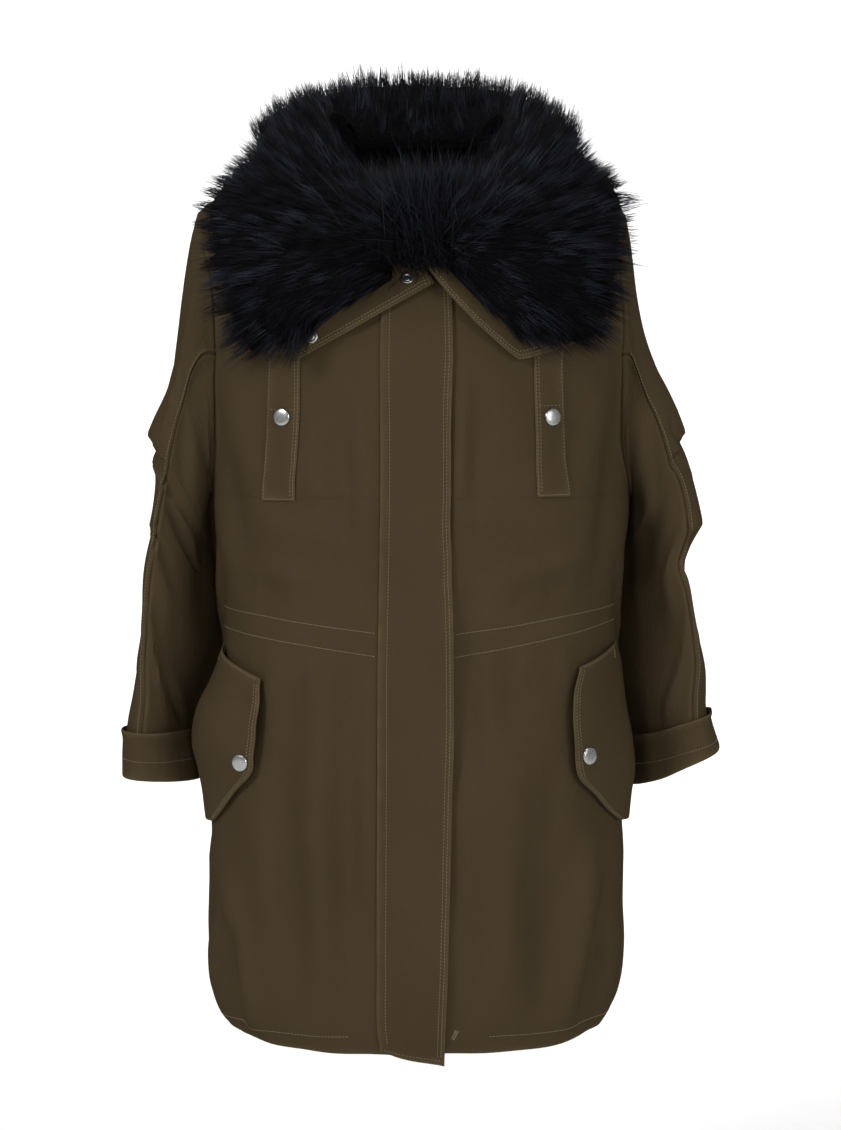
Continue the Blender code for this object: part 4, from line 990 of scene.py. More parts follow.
def make_body():
    armhole_loop.cache_clear()
    levels, first_armhole = body_levels()
    for side, word in SIDES.items():
        edge = edge_angle(levels, side, True)
        angles = panel_angles(levels, np.full(len(levels), side * 1e-3), edge, FRONT_COLUMNS)
        make_panel(f"front_{word}", levels, first_armhole, angles, {side: -1}, (-1,))
    left = edge_angle(levels, LEFT, False)
    right = edge_angle(levels, RIGHT, False) + 2 * math.pi
    angles = panel_angles(levels, left, right, BACK_COLUMNS)
    make_panel("back", levels, first_armhole, angles, {LEFT: 0, RIGHT: -1}, (0, -1))


# Fly, tabs and flaps


def front_place(x, z):
    """Points and normals of the front. Below the hem the front is carried straight on down."""
    lowest = BODY[0].front_z * MM + MM
    level, around = front_at(x, np.maximum(z, lowest))
    points = coat_points(level, around)
    points[..., 2] += np.minimum(z - lowest, 0.0)
    return points, coat_normal(level, around)


# Waves of the fly's free edge: the level, the length up and down, and how far the edge rises there.
FlyWave = collections.namedtuple("FlyWave", "level tall rise")
FLY_WAVES = table(
    FlyWave,
    (-208, 26, 1.2),
    (-300, 22, 0.8),
    (-405, 38, 2.6),
    (-530, 24, 3.0),
    (-640, 30, 1.4),
    (-745, 24, 1.0),
)


def make_fly():
    """The fly over the closing, sewn along one edge, with its free edge standing off in slow waves."""
    low, high = PLACKET[0].level * MM, PLACKET[-1].level * MM
    count = int((high - low) / ROW_STEP)
    middle = np.linspace(low + EDGE_STEPS[-1], high, count)[1:]
    zs = np.concatenate([low + EDGE_STEPS, middle])
    across = eased(EDGE_STEPS / (72 * MM), 18)
    row = PLACKET_CURVE.at(zs)
    xs = row.sewn_x[:, None] + (row.free_x - row.sewn_x)[:, None] * across
    slant = np.exp(-(zs - low) / SLANT_REACH)[:, None] * across * PLACKET_SLANT
    points, normals = front_place(xs, zs[:, None] - slant)
    lifts = FLY_GAP + SEAM_PADDING * np.sin(math.pi * across) + row.lift[:, None] * across**3
    for wave in FLY_WAVES:
        shape = np.exp(-(((zs / MM - wave.level) / wave.tall) ** 2))[:, None]
        lifts = lifts + wave.rise * MM * shape * across**4
    ripple = np.sin(zs / MM / 6.1)[:, None] * 0.22 + np.sin(zs / MM / 9.7 + 1)[:, None] * 0.25
    near_sewing = np.exp(-((across - 0.12) / 0.1) ** 2) + np.exp(-((across - 0.93) / 0.07) ** 2)
    lifts = lifts + ripple * MM * near_sewing
    outer, inner = rounded(points + normals * lifts[..., None], normals, PLACKET_WALL)
    dress("fly_placket", outer, inner)


def make_tab(side, word):
    """A flat tab sewn down on the chest."""
    top, bottom = TABS[side][-1].level * MM, TABS[side][0].level * MM
    zs = np.concatenate([bottom + EDGE_STEPS, np.linspace(bottom + EDGE_STEPS[-1], top, 32)[1:]])
    row = TAB_CURVES[side].at(zs)
    across = eased(EDGE_STEPS / (31 * MM), 8)
    xs = row.outer_x[:, None] + (row.inner_x - row.outer_x)[:, None] * across
    points, normals = front_place(xs, zs[:, None] + 0 * xs)
    pucker = 0.16 * np.sin(zs / MM / 4.3)[:, None] * (np.exp(-across / 0.15) + np.exp(-(1 - across) / 0.2))
    lifts = SEAM_GAP + (0.25 * np.sin(math.pi * across) + pucker) * MM
    outer, inner = rounded(points + normals * lifts[..., None], normals, TAB_WALL)
    dress(f"chest_tab_{word}", outer, inner)


def flap_face(side, down, across):
    """A flap's inner face, from its free edge (0) to its sewn edge (1)."""
    down, across = np.broadcast_arrays(np.asarray(down, float), np.asarray(across, float))
    row = FLAP_CURVES[side].at(down)
    free_level, free_around = front_at(row.free_x * MM, row.free_z * MM)
    level = free_level + (row.sewn_z * MM - free_level) * across
    around = free_around + (side * np.radians(row.sewn_around) - free_around) * across
    swell = np.maximum(np.sin(math.pi * np.clip(across, 0, 1) ** 1.25), 0) ** 0.8
    free_edge = np.maximum(1 - across, 0) ** 1.5
    lift = SEAM_GAP + SEAM_PADDING / 2 + row.free_lift * MM * free_edge + row.bulge * MM * swell
    ripple = 0.35 * np.sin(down * 5.2 + side) * np.exp(-np.maximum(across, 0) / 0.25)
    return coat_points(level, around) + body_normal(level, around) * (lift + ripple * MM)[..., None]


def make_flap(side, word):
    near = np.array([0, 0.008, 0.018, 0.032, 0.05, 0.075])
    downs = np.concatenate([6 * near, np.linspace(0.45, 5.55, 44)[1:-1], 6 - 6 * near[::-1]])
    acrosses = eased(near, 24)
    grid = flap_face(side, downs[:, None], acrosses[None, :])
    normals = faced(grid_normals(grid), np.broadcast_to(np.array([side, -0.4, 0.0]), grid.shape))
    outer, inner = rounded(grid, normals, FLAP_WALL)
    dress(f"pocket_flap_{word}", outer, inner)


# Collar


def through(points, shares):
    """Points at these shares of the length of a smooth curve through a few points."""
    points = np.asarray(points)
    along = lengths_along(points)
    slopes = np.gradient(points, along, axis=0)
    places = smooth(along, points, slopes, np.linspace(0, along[-1], 100))
    return at_shares(places, shares)


def collar_edge(side, around):
    """The level and angle of the body under the collar's free edge."""
    wing = COLLAR_WINGS[side]
    share = min((around - 1) / (wing.tip_around - 1), 1.0)
    x = wing.start_x + (wing.tip_x - wing.start_x) * share
    z = wing.start_z + (wing.tip_z - wing.start_z) * share - wing.bow * 4 * share * (1 - share)
    wing_level, wing_around = (float(value) for value in front_at(x * MM, z * MM))
    if around <= wing.tip_around:
        return wing_level, wing_around
    rows = [section for section in COLLAR[side] if section.around > wing.tip_around]
    keys = [wing.tip_around] + [section.around for section in rows]
    levels = [wing_level] + [section.edge_level * MM for section in rows]
    arounds = [wing_around] + [side * math.radians(section.edge_around) for section in rows]
    return float(np.interp(around, keys, levels)), float(np.interp(around, keys, arounds))


def body_under(x, y, lowest):
    """The level and angle of the shoulder's or chest's point that has this x and y."""
    low, high = lowest, NECK_LEVEL
    for _ in range(30):
        level = (low + high) / 2
        row = BODY_CURVE.at(level)
        across = abs(x) / (row.left_half if x > 0 else row.right_half)
        forward = abs(y - SIDE_SEAM_Y) / (row.front if y < SIDE_SEAM_Y else row.back)
        power = row.squareness / MM
        if across**power + forward**power > 1:
            high = level
        else:
            low = level
    around = math.asin(min(1.0, min(1.0, float(across)) ** (float(power) / 2)))
    if y > SIDE_SEAM_Y:
        around = math.pi - around
    return level, math.copysign(around, x)


def collar_profile(side, around, shares):
    """The collar's underside at one angle, from the neck seam over its fold to its free edge."""
    row = COLLAR_CURVES[side].at(around)
    neck_angle = side * math.radians(max(around, COLLAR_START[side]))
    edge_level, edge_around = collar_edge(side, around)
    lift, stand = float(row.lift) * MM, float(row.stand) * MM
    seam = body_points(NECK_LEVEL, neck_angle) + np.array([0, 0, NECK_SEAM_GAP])
    out = unit(np.array([seam[0], seam[1] - NECK_MIDDLE_Y, 0.0]))
    up = np.array([0.0, 0.0, 1.0])
    foot = body_points(edge_level, edge_around)
    points = [
        seam,
        seam + up * 0.6 * stand + out * 0.06 * stand,
        seam + up * stand + out * (0.22 * stand + 2 * MM),
        seam + up * 0.86 * stand + out * (0.5 * stand + 5 * MM),
    ]
    for share, more in LEAF_PLACES:
        plan = seam + (foot - seam) * share
        level, angle = body_under(plan[0], plan[1], edge_level)
        points.append(body_points(level, angle) + body_normal(level, angle) * (lift + more * MM))
    points.append(foot + body_normal(edge_level, edge_around) * lift)
    return through(points, shares)


def collar_length(side, around):
    return float(lengths_along(collar_profile(side, around, np.linspace(0, 1, 60)))[-1])


def collar_normals(grid):
    """The normals of a collar's underside, which point away from the fur."""
    outward = grid[:, 0] - np.array([0, NECK_MIDDLE_Y, 0])
    normals = unit(np.cross(np.gradient(grid, axis=0), np.gradient(grid, axis=1)))
    if np.sum(outward[:, :2] * normals[:, 0, :2]) < 0:
        normals = -normals
    normals[-1, :, 0] = 0.0
    return unit(normals)


def make_collar(side, word):
    """Half of the collar, folded over, with its bare margin beyond the fur."""
    around = np.concatenate([[1, 1.3, 1.7, 2.2, 2.9, 3.8], np.linspace(5, 60, 38), np.linspace(60, 180, 36)[1:]])
    rows = []
    for angle in around:
        length = collar_length(side, angle)
        shares = np.concatenate([np.linspace(0, length - 8 * MM, 26), length - EDGE_STEPS[::-1]]) / length
        rows.append(collar_profile(side, angle, shares))
    grid = np.array(rows)
    normals = collar_normals(grid)
    along = lengths_down(grid)
    ripple = 0.35 * np.sin(along / MM / 7.0 + side) + 0.3 * np.sin(along / MM / 11.3)
    from_seam = lengths_along(grid)
    from_edge = from_seam[:, -1:] - from_seam
    push = ripple * np.exp(-((from_edge / (14 * MM)) ** 2)) * MM
    shown, under = rounded(grid + normals * push[..., None], -normals, COLLAR_WALL)
    dress(f"collar_{word}", shown, under)


# Fur


def pile_rows(side, around):
    """The collar's face under the pile at these angles, the pile's tips, and its fringe beyond the last row."""
    shares = np.linspace(FUR_FIRST_SHARE, 1.0, 14)
    grid, lengths = [], []
    for angle in around:
        length = collar_length(side, angle)
        fur_edge = 1 - float(COLLAR_CURVES[side].at(angle).margin) * MM / length
        grid.append(collar_profile(side, angle, shares * fur_edge))
        lengths.append(length)
    grid = np.array(grid)
    normals = collar_normals(grid)
    clearance = FUR_CLEARANCE + FUR_END_CLEARANCE * np.exp(-((around - around[0]) / 8) ** 2)
    under = grid - normals * (COLLAR_WALL + clearance)[:, None, None]
    onward = unit(np.gradient(grid, axis=1))
    out = -normals
    row = COLLAR_CURVES[side].at(around)
    place = np.linspace(0, 1, len(shares))
    lean = np.interp(place, [0, 0.4, 1], [-0.25, 0.0, 0.25])
    pile = np.array([
        np.interp(place, [0, 0.4, 0.75, 1], [i, t, o, 0.5 * o])
        for i, t, o in zip(row.pile_in, row.pile_top, row.pile_out)
    ])
    tips = under + unit(out + onward * lean[None, :, None]) * (pile * MM)[..., None]
    overhang = (row.overhang * MM)[:, None]
    fringe = under[:, -1] + onward[:, -1] * overhang + out[:, -1] * (5 * MM + 0.2 * overhang)
    return under, tips, fringe


def with_end(side, under, tips, fringe):
    """The same rows with the pile's rounded end in front, which reaches the coat's middle."""
    out = unit(tips[0] - under[0])
    lifted = under[0] + out * FUR_END_LIFT
    end = lifted + (tips[0] - under[0]) * FUR_END_LENGTH
    end_fringe = lifted[-1] + (fringe[0] - under[0][-1]) * FUR_END_LENGTH
    every = np.concatenate([lifted, end, end_fringe[None]])
    nearest = every[:, 0].min() if side == LEFT else every[:, 0].max()
    shift = np.array([FUR_END_REACH[side] - nearest, 0, 0])
    return (
        np.concatenate([(lifted + shift)[None], under]),
        np.concatenate([(end + shift)[None], tips]),
        np.concatenate([(end_fringe + shift)[None], fringe]),
    )


def whole_pile():
    """The pile's rows from the left end over the back of the neck to the right end."""
    around = np.concatenate([np.linspace(FUR_FIRST_ANGLE, 60, 34), np.linspace(60, 180, 34)[1:]])
    left = with_end(LEFT, *pile_rows(LEFT, around))
    right = with_end(RIGHT, *pile_rows(RIGHT, around))
    return [np.concatenate([a, b[-2::-1]]) for a, b in zip(left, right)]


def make_underfur(under, tips, fringe, depth):
    """The dense short fur under the long pile, as one closed body."""
    top = under + (tips - under) * depth
    last = under[:, -1:] + (fringe[:, None] - under[:, -1:]) * depth * 0.7
    inside = under[:, :1] + (tips[:, :1] - under[:, :1]) * 0.4 * depth
    loops = np.concatenate([under, last, top[:, ::-1], inside], axis=1)
    rows, size = loops.shape[:2]
    index = np.arange(rows * size).reshape(rows, size)
    index = np.concatenate([index, index[:, :1]], axis=1)
    faces = [tuple(face) for face in corners_of(index).tolist()]
    steps = under.shape[1] - 1
    for base, is_flipped in ((0, True), ((rows - 1) * size, False)):
        strip = [(i, i + 1, 2 * steps + 1 - i, 2 * steps + 2 - i) for i in range(steps)]
        strip += [(steps, steps + 1, steps + 2), (2 * steps + 3, 0, 2 * steps + 2)]
        for face in strip:
            face = tuple(base + i for i in face)
            faces.append(tuple(reversed(face)) if is_flipped else face)
    mesh = bpy.data.meshes.new("underfur")
    mesh.from_pydata(loops.reshape(-1, 3).tolist(), [], faces)
    made = bpy.data.objects.new("underfur", mesh)
    bpy.context.scene.collection.objects.link(made)
    tidy = bmesh.new()
    tidy.from_mesh(mesh)
    bmesh.ops.recalc_face_normals(tidy, faces=tidy.faces)
    tidy.to_mesh(mesh)
    tidy.free()
    mesh.materials.append(underfur_finish("underfur"))
    mesh.shade_smooth()
    finish_piece(made, ["fur_collar"])


PARTING = np.array([12.0, -118.0, -38.0]) * MM  # the place in front from which the pile lies away on all sides
PILE_DEPTH = 138 * MM  # up to here in front and behind the pile is free, and it reaches this much further:
PILE_OVERREACH = 33 * MM
TUFT_HAIRS = 20
GUARD_SHARE = 0.14  # of the hairs stand out, longer and thinner than the tufts
COVERED_SOCKET = (-114, -108)  # the x and z of the pile's edge above the lower socket, which it nearly hides
SOCKET_COVER = 32 * MM  # how far the hairs there are drawn over the socket, in this direction:
COVER_DIRECTION = np.array([0.42, -0.3, -0.86])
COVER_REACH = 18 * MM
FAN_SHARE = 6  # the fan in front and the inner side each have this part of the pile's count again
STRAND_SEGMENTS = 3
STRAND_TAPER = (1.0, 0.9, 0.62)
STRAND_TURNS = (0.0, 2.0944, 4.1888)  # a hair's three sides


def combed(points):
    """The direction in which the pile lies: away from the parting in front, and downwards behind the neck."""
    away = unit(points - PARTING)
    behind = np.clip((points[:, 1:2] - 110 * MM) / (60 * MM), 0, 1)
    low = np.clip(-points[:, 2:3] / (120 * MM), 0, 1)
    up = np.clip((points[:, 2:3] - 20 * MM) / (70 * MM), 0, 1) * (1 - behind)
    down = np.array([0.0, 0.25, -1.0])
    return unit(away * (1 - 0.75 * behind) + down * (0.8 * behind + 0.25 * low) + np.array([0, 0, 0.7]) * up)


def between(grid, i, j):
    """A grid's values at places between its rows and columns."""
    low_i = np.clip(i.astype(int), 0, grid.shape[0] - 2)
    low_j = np.clip(j.astype(int), 0, grid.shape[1] - 2)
    part_i, part_j = (i - low_i)[:, None], (j - low_j)[:, None]
    a, b = grid[low_i, low_j], grid[low_i, low_j + 1]
    c, d = grid[low_i + 1, low_j], grid[low_i + 1, low_j + 1]
    return (a * (1 - part_j) + b * part_j) * (1 - part_i) + (c * (1 - part_j) + d * part_j) * part_i


def scattered(surface, count, chance):
    """Places spread evenly over a grid's surface."""
    across = np.diff(surface, axis=0)[:, :-1]
    down = np.diff(surface, axis=1)[:-1]
    areas = np.linalg.norm(np.cross(across, down), axis=-1)
    areas = areas + 0.15 * areas.mean()
    cells = chance.choice(areas.size, size=count, p=(areas / areas.sum()).ravel())
    return cells // areas.shape[1] + chance.random(count), cells % areas.shape[1] + chance.random(count)


def make_strands(name, roots, middles, tips, radius, tone):
    """Tapered three-sided hairs, as one object. The tone is each hair's share of painted highlight, which the finish
    reads.
    """
    shares = np.linspace(0, 1, STRAND_SEGMENTS + 1)
    bend = [(1 - s) ** 2 * roots + 2 * s * (1 - s) * middles + s**2 * tips for s in shares]
    path = np.stack(bend, axis=1)
    along = unit(np.gradient(path, axis=1))
    side = unit(np.cross(along, unit(np.array([0.3, 0.5, 0.81]))))
    other = np.cross(along, side)
    rings = []
    for k in range(STRAND_SEGMENTS):
        size = (radius * STRAND_TAPER[k])[:, None]
        for turn in STRAND_TURNS:
            rings.append(path[:, k] + (side[:, k] * math.cos(turn) + other[:, k] * math.sin(turn)) * size)
    rings.append(path[:, -1])
    points = np.stack(rings, axis=1)
    last = 3 * (STRAND_SEGMENTS - 1)
    faces = [(0, 2, 1)] + prism_faces(STRAND_SEGMENTS)
    faces += [(last + i, last + (i + 1) % 3, last + 3) for i in range(3)]
    every = repeated(faces, points.shape[1], len(roots))
    height = np.repeat([*np.linspace(0, 0.8, STRAND_SEGMENTS), 1.0], [3] * STRAND_SEGMENTS + [1])
    # painted highlight: more of it towards each hair's tip
    highlight_share = (tone[:, None] * (0.35 + 0.65 * height[None])).ravel()
    made = fill_mesh(name, points.reshape(-1, 3), every, pile_finish("black_pile"), None, [("highlight_share", highlight_share)])
    finish_piece(made, [])


def lie(roots, aims, lay, rise):
    """Where hairs end that come up to the pile's face and then lie along it."""
    out = unit(aims - roots)
    flow = combed(aims)
    flow = unit(flow - out * (flow * out).sum(axis=1, keepdims=True) * 0.75)
    return aims + flow * lay[:, None] + out * rise[:, None]


def held_in(points):
    """The points, drawn in where they would stand out too far in front of the coat or behind it."""
    over = np.maximum(np.abs(points[:, 1]) - PILE_DEPTH, 0)
    drawn_in = PILE_OVERREACH * np.tanh(over / PILE_OVERREACH)
    held = points.copy()
    held[:, 1] = np.sign(points[:, 1]) * (np.minimum(np.abs(points[:, 1]), PILE_DEPTH) + drawn_in)
    return held


def mixed(chance, is_first, first, second):
    """A random value for each hair, from the first range where it is one of the first kind."""
    count = len(is_first)
    return np.where(is_first, chance.uniform(*first, count), chance.uniform(*second, count))


def nearest_of(targets, places):
    """The number of the target that is nearest to each place."""
    found = np.zeros(len(places), int)
    for start in range(0, len(places), 2000):
        part = places[start : start + 2000]
        apart = ((part[:, None] - targets[None]) ** 2).sum(axis=-1)
        found[start : start + 2000] = apart.argmin(axis=1)
    return found


def spray(chance, count):
    """The hairs that stand up in a fan from the parting and cover the neck's opening from the front."""
    turn = chance.normal(-0.05, 0.66, count)
    root = PARTING + chance.normal(size=(count, 3)) * np.array([24, 13, 10]) * MM
    root[:, 0] += np.sin(turn) * 16 * MM
    length = chance.uniform(46, 86, count) * MM
    lean = chance.normal(0.05, 0.26, count)
    aim = unit(np.stack([np.sin(turn), lean, np.cos(turn) + 0.12], axis=1))
    middle = root + aim * length[:, None] * 0.5 + np.array([0, -9, 3]) * MM
    return root, middle, root + aim * length[:, None]


def drape(under, chance, count):
    """The hairs of the collar's inner side, which lean into the neck's opening and hang there."""
    rows = under.shape[0] - 1
    i = rows * mixed(chance, chance.random(count) < 0.6, (0.3, 0.7), (0.1, 0.9))
    j = chance.uniform(0, 3.5, count)
    root = between(under, i, j)
    middle_of_neck = np.array([4, -10, 0]) * MM
    inward = unit((middle_of_neck - root) * np.array([1, 1, 0]))
    hang = chance.uniform(4, 44, count)[:, None] * MM * (1 - j[:, None] / 5)
    reach = chance.uniform(12, 36, count)[:, None] * MM
    end = root + inward * reach - np.array([0, 0, 1]) * hang + chance.normal(size=(count, 3)) * 4 * MM
    return root, root + inward * reach * 0.7 + np.array([0, 0, 6]) * MM, end


def make_pile():
    """The long pile: tufts that lie together, with single longer hairs standing out of them."""
    sizes = bpy.context.scene.parka_sizes
    under, tips, fringe = whole_pile()
    make_underfur(under, tips, fringe, sizes.underfur_depth)
    chance = np.random.default_rng(31)
    skin = np.concatenate([under, under[:, -1:] * 0.9 + fringe[:, None] * 0.1], axis=1)
    ends = np.concatenate([tips, tips[:, -1:] * 0.25 + fringe[:, None] * 0.75], axis=1)
    count = sizes.hair_count
    i, j = scattered(ends, count, chance)
    roots, aims = between(skin, i, j), between(ends, i, j)
    tuft_count = count // TUFT_HAIRS
    tuft_i, tuft_j = scattered(ends, tuft_count, chance)
    tuft_roots, tuft_aims = between(skin, tuft_i, tuft_j), between(ends, tuft_i, tuft_j)
    tuft_lay, tuft_rise = chance.uniform(16, 40, tuft_count) * MM, chance.uniform(-6, 7, tuft_count) * MM
    tuft_tips = lie(tuft_roots, tuft_aims, tuft_lay, tuft_rise)
    tuft_tips += chance.normal(size=(tuft_count, 3)) * 6 * MM
    nearest = nearest_of(tuft_aims, aims)
    is_guard = chance.random(count) < GUARD_SHARE
    lay = mixed(chance, is_guard, (22, 52), (10, 36)) * MM
    rise = mixed(chance, is_guard, (1, 14), (-9, 4)) * MM
    pull = mixed(chance, is_guard, (0.0, 0.5), (0.5, 0.88))[:, None]
    reach = lie(roots, aims, lay, rise)
    beside_tuft = tuft_tips[nearest] + reach - aims - (tuft_tips - tuft_aims)[nearest]
    end = reach * (1 - pull) + beside_tuft * pull * 0.5
    end += tuft_tips[nearest] * pull * 0.5
    end += chance.normal(size=(count, 3)) * 1.5 * MM
    from_socket = np.linalg.norm(aims[:, [0, 2]] - np.array(COVERED_SOCKET) * MM, axis=1) / COVER_REACH
    end += COVER_DIRECTION * (np.exp(-(from_socket**2)) * SOCKET_COVER)[:, None]
    middles = roots + (aims - roots) * chance.uniform(0.8, 0.98, count)[:, None]
    radius = mixed(chance, is_guard, (0.22, 0.34), (0.34, 0.56)) * MM
    # each hair's share of painted highlight, more on the standing-out hairs and on some tufts than on others
    tone = np.clip(chance.normal(0.35, 0.2, count) + is_guard * 0.3, 0, 1)
    tone = tone * (0.1 + 2.4 * chance.random(tuft_count)[nearest] ** 3)
    fan_count = sizes.hair_count // FAN_SHARE
    added = (spray(chance, fan_count), drape(under, chance, fan_count))
    roots, middles, end = (np.concatenate(group) for group in zip((roots, middles, end), *added))
    radius = np.concatenate([radius, chance.uniform(0.35, 0.6, 2 * fan_count) * MM])
    fan_highlight = np.clip(chance.normal(0.3, 0.3, fan_count), 0, 1)
    # the hairs that hang inside the neck's opening get a fifth of the fan's highlight: painted shade
    tone = np.concatenate([tone, fan_highlight, 0.2 * fan_highlight])
    middles, end = held_in(middles), held_in(end)
    order = np.argsort(np.concatenate([i, np.full(2 * fan_count, 1e6)]), kind="stable")
    names = ("pile_left_front", "pile_left_back", "pile_right_back", "pile_right_front")
    for name, part in zip(names, np.array_split(order, len(names))):
        make_strands(name, roots[part], middles[part], end[part], radius[part] * sizes.hair_size, tone[part])


# Sewing

FRONTS = ("front_right_cloth", "front_left_cloth")
BACK = ("back_cloth",)
HEM_SLIT = ((33.5, -800), (37.5, -791))  # its x and z at both ends


def front_line(places):
    x, z = np.array(places, float).T * MM
    return front_place(x, z)[0]


def body_line(places):
    around, level = np.array(places, float).T
    return coat_points(level * MM, np.radians(around))


# Lines of sewing on these cloths. The places are x and z for front_line, and angle and level for body_line.
SewingLine = collections.namedtuple("SewingLine", "pieces laid places")
WAIST_AND_HEM = table(
    SewingLine,
    (FRONTS, front_line, ((-196, -388), (-150, -393), (-100, -400), (-41, -407.4))),
    (FRONTS, front_line, ((-196, -408), (-150, -414), (-100, -421), (-41, -429.7))),
    (FRONTS, front_line, ((35.9, -408.4), (90, -401), (150, -392), (197, -386))),
    (FRONTS, front_line, ((34.9, -430.7), (90, -421), (150, -409), (197, -401))),
    (BACK, body_line, ((92, -386), (140, -388), (180, -390), (220, -388), (268, -386))),
    (BACK, body_line, ((92, -404), (140, -410), (180, -412), (220, -410), (268, -405))),
    (FRONTS[:1], body_line, ((-12, -788), (-40, -789), (-70, -791), (-88, -791))),
    (FRONTS[1:], body_line, ((13, -788), (40, -789), (70, -791), (88, -791))),
    (BACK, body_line, ((92, -791), (140, -790), (180, -790), (220, -790), (268, -791))),
)


@functools.cache
def tree_of(pieces):
    """The pieces' shown faces, in a tree that finds the nearest place on them."""
    points, faces, start = [], [], 0
    for piece in pieces:
        own_points, own_faces = OUTER_FACES[piece]
        points.append(own_points)
        faces.append(own_faces + start)
        start += len(own_points)
    return BVHTree.FromPolygons(np.concatenate(points).tolist(), np.concatenate(faces).tolist())


def laid_on(pieces, line):
    """The line's nearest places on the pieces' shown faces, with their normals."""
    tree = tree_of(pieces)
    found = [tree.find_nearest(Vector(point)) for point in line]
    return np.array([hit[0] for hit in found]), np.array([hit[1] for hit in found])


# A stitch's rings: their place along it, their size and how high they lie. Each has three corners.
STITCH_RINGS = ((-0.5, 0.35, -0.7), (-0.3, 1.0, 0.15), (0.3, 1.0, 0.15), (0.5, 0.35, -0.7))
STITCH_TURNS = (0.5236, 2.618, 4.7124)


class Sewing:
    """Collects stitches of one thread, and makes one object of them."""

    def __init__(self, name, finish):
        self.name, self.finish = name, finish
        self.stitches = []

    def run(self, pieces, line, length=2.5 * MM, gap=0.8 * MM, radius=0.38 * MM):
        count = max(2, int(lengths_along(line)[-1] / (length + gap)))
        places, normals = laid_on(pieces, at_shares(line, np.linspace(0, 1, count)))
        middles = (places[1:] + places[:-1]) / 2
        tangents = unit(places[1:] - places[:-1])
        outward = unit(normals[1:] + normals[:-1])
        self.add(middles, tangents, outward, length, radius)

    def sew(self, node, seams, *thread_sizes):
        cloth = f"{node}_cloth"
        for inset, edge, start, end in seams:
            self.run((cloth,), edge_line(cloth, inset * MM, edge, start, end), *thread_sizes)

    def add(self, centres, tangents, normals, length, radius):
        self.stitches.append((centres, tangents, normals, np.tile([length, radius], (len(centres), 1))))

    def finish_off(self):
        centres, tangents, normals, sizes = (np.concatenate(group) for group in zip(*self.stitches))
        across = unit(np.cross(tangents, normals))
        upward = np.cross(across, tangents)
        shape = []
        for along, width, height in STITCH_RINGS:
            for turn in STITCH_TURNS:
                shape.append((along, width * math.cos(turn), width * math.sin(turn) + height))
        shape = np.array(shape)
        points = centres[:, None]
        for k, direction in enumerate((tangents, across, upward)):
            size = sizes[:, :1] if k == 0 else sizes[:, 1:]
            points = points + direction[:, None] * (shape[None, :, k] * size)[..., None]
        faces = [(0, 2, 1), (9, 10, 11)] + prism_faces(4)
        every = repeated(faces, 12, len(points))
        flat = points.reshape(-1, 3)
        a, b, c = flat[every[:, 0]], flat[every[:, 1]], flat[every[:, 2]]
        inside = np.repeat(centres, len(faces), axis=0)
        if np.sum((a - inside) * np.cross(b - a, c - a)) < 0:
            every = every[:, ::-1]
        finish_piece(fill_mesh(self.name, flat, every, self.finish), [])


def shown_grid(piece):
    return OUTER_FACES[piece][0].reshape(*GRIDS[piece], 3)


def edge_line(piece, inset, edge, start, end):
    """A line on a piece's shown face, a distance in from one edge: the first or last row or column of its grid."""
    grid = shown_grid(piece)
    if edge.endswith("column"):
        grid = grid.swapaxes(0, 1)
    if edge.startswith("last"):
        grid = grid[::-1]
    down = lengths_down(grid)
    line = np.array([
        [np.interp(inset, down[:, i], grid[:, i, k]) for k in range(3)] for i in range(grid.shape[1])
    ])
    along = lengths_along(line)
    chosen = (along >= start * along[-1]) & (along <= end * along[-1])
    return line[chosen]


# Seams along a piece's edges: how far in, along which edge, and between which shares of its length.
FLY_SEAMS = (
    (4, "last_column", 0.01, 1),
    (7.5, "last_column", 0.01, 1),
    (9, "first_column", 0.012, 1),
    (5, "first_row", 0.05, 0.95),
)
TAB_SEAMS = ((2, "last_column", 0.01, 1), (5, "last_column", 0.03, 1), (2, "first_column", 0.01, 1))
FLAP_SEAMS = ((4, "first_column", 0.03, 0.97), (7.5, "first_column", 0.03, 0.97), (2.5, "first_row", 0.05, 0.9))
COLLAR_SEAMS = (
    (4.5, "last_column", 0.01, 1),
    (4.5, "first_row", 0.3, 0.99),
    (8, "last_column", 0.01, 1),
    (8, "first_row", 0.3, 0.99),
)
SLEEVE_SEAMS = ((5.5, "last_column", 0.02, 0.98), (5.5, "first_column", 0.02, 0.98))


def own_thread():
    return thread_finish("coat_thread", bpy.context.scene.parka_colours.thread)


def sew_body():
    own = Sewing("stitches_body", own_thread())
    pale = Sewing("stitches_waist", thread_finish("pale_thread", bpy.context.scene.parka_colours.pale_thread))
    for line in WAIST_AND_HEM:
        places = at_shares(np.array(line.places, float), np.linspace(0, 1, 60))
        pale.run(line.pieces, line.laid(places))
    own.sew("fly_placket", FLY_SEAMS)
    for word in ("left", "right"):
        tab = f"chest_tab_{word}"
        own.sew(tab, TAB_SEAMS)
        pale.sew(tab, [(2, "first_row", 0.05, 0.95)], 2.2 * MM, 0.5 * MM, 0.28 * MM)
        own.sew(tab, [(88, "first_row", 0, 1)])
        flap = f"pocket_flap_{word}"
        own.sew(flap, FLAP_SEAMS)
        sew_bar(pale, f"{flap}_cloth")
    sew_slit(pale)
    own.finish_off()
    pale.finish_off()


def sew_bar(thread_work, flap):
    """The short dense bar that holds a flap's upper corner."""
    corner = shown_grid(flap)[4, -9]
    line = np.array([corner + np.array([0, 0, s * MM]) for s in np.linspace(-4, 4, 12)])
    places, normals = laid_on((flap,), line)
    across = unit(np.cross(normals, np.array([0.0, 0, 1.0])))
    thread_work.add(places, across, normals, 2.6 * MM, 0.36 * MM)


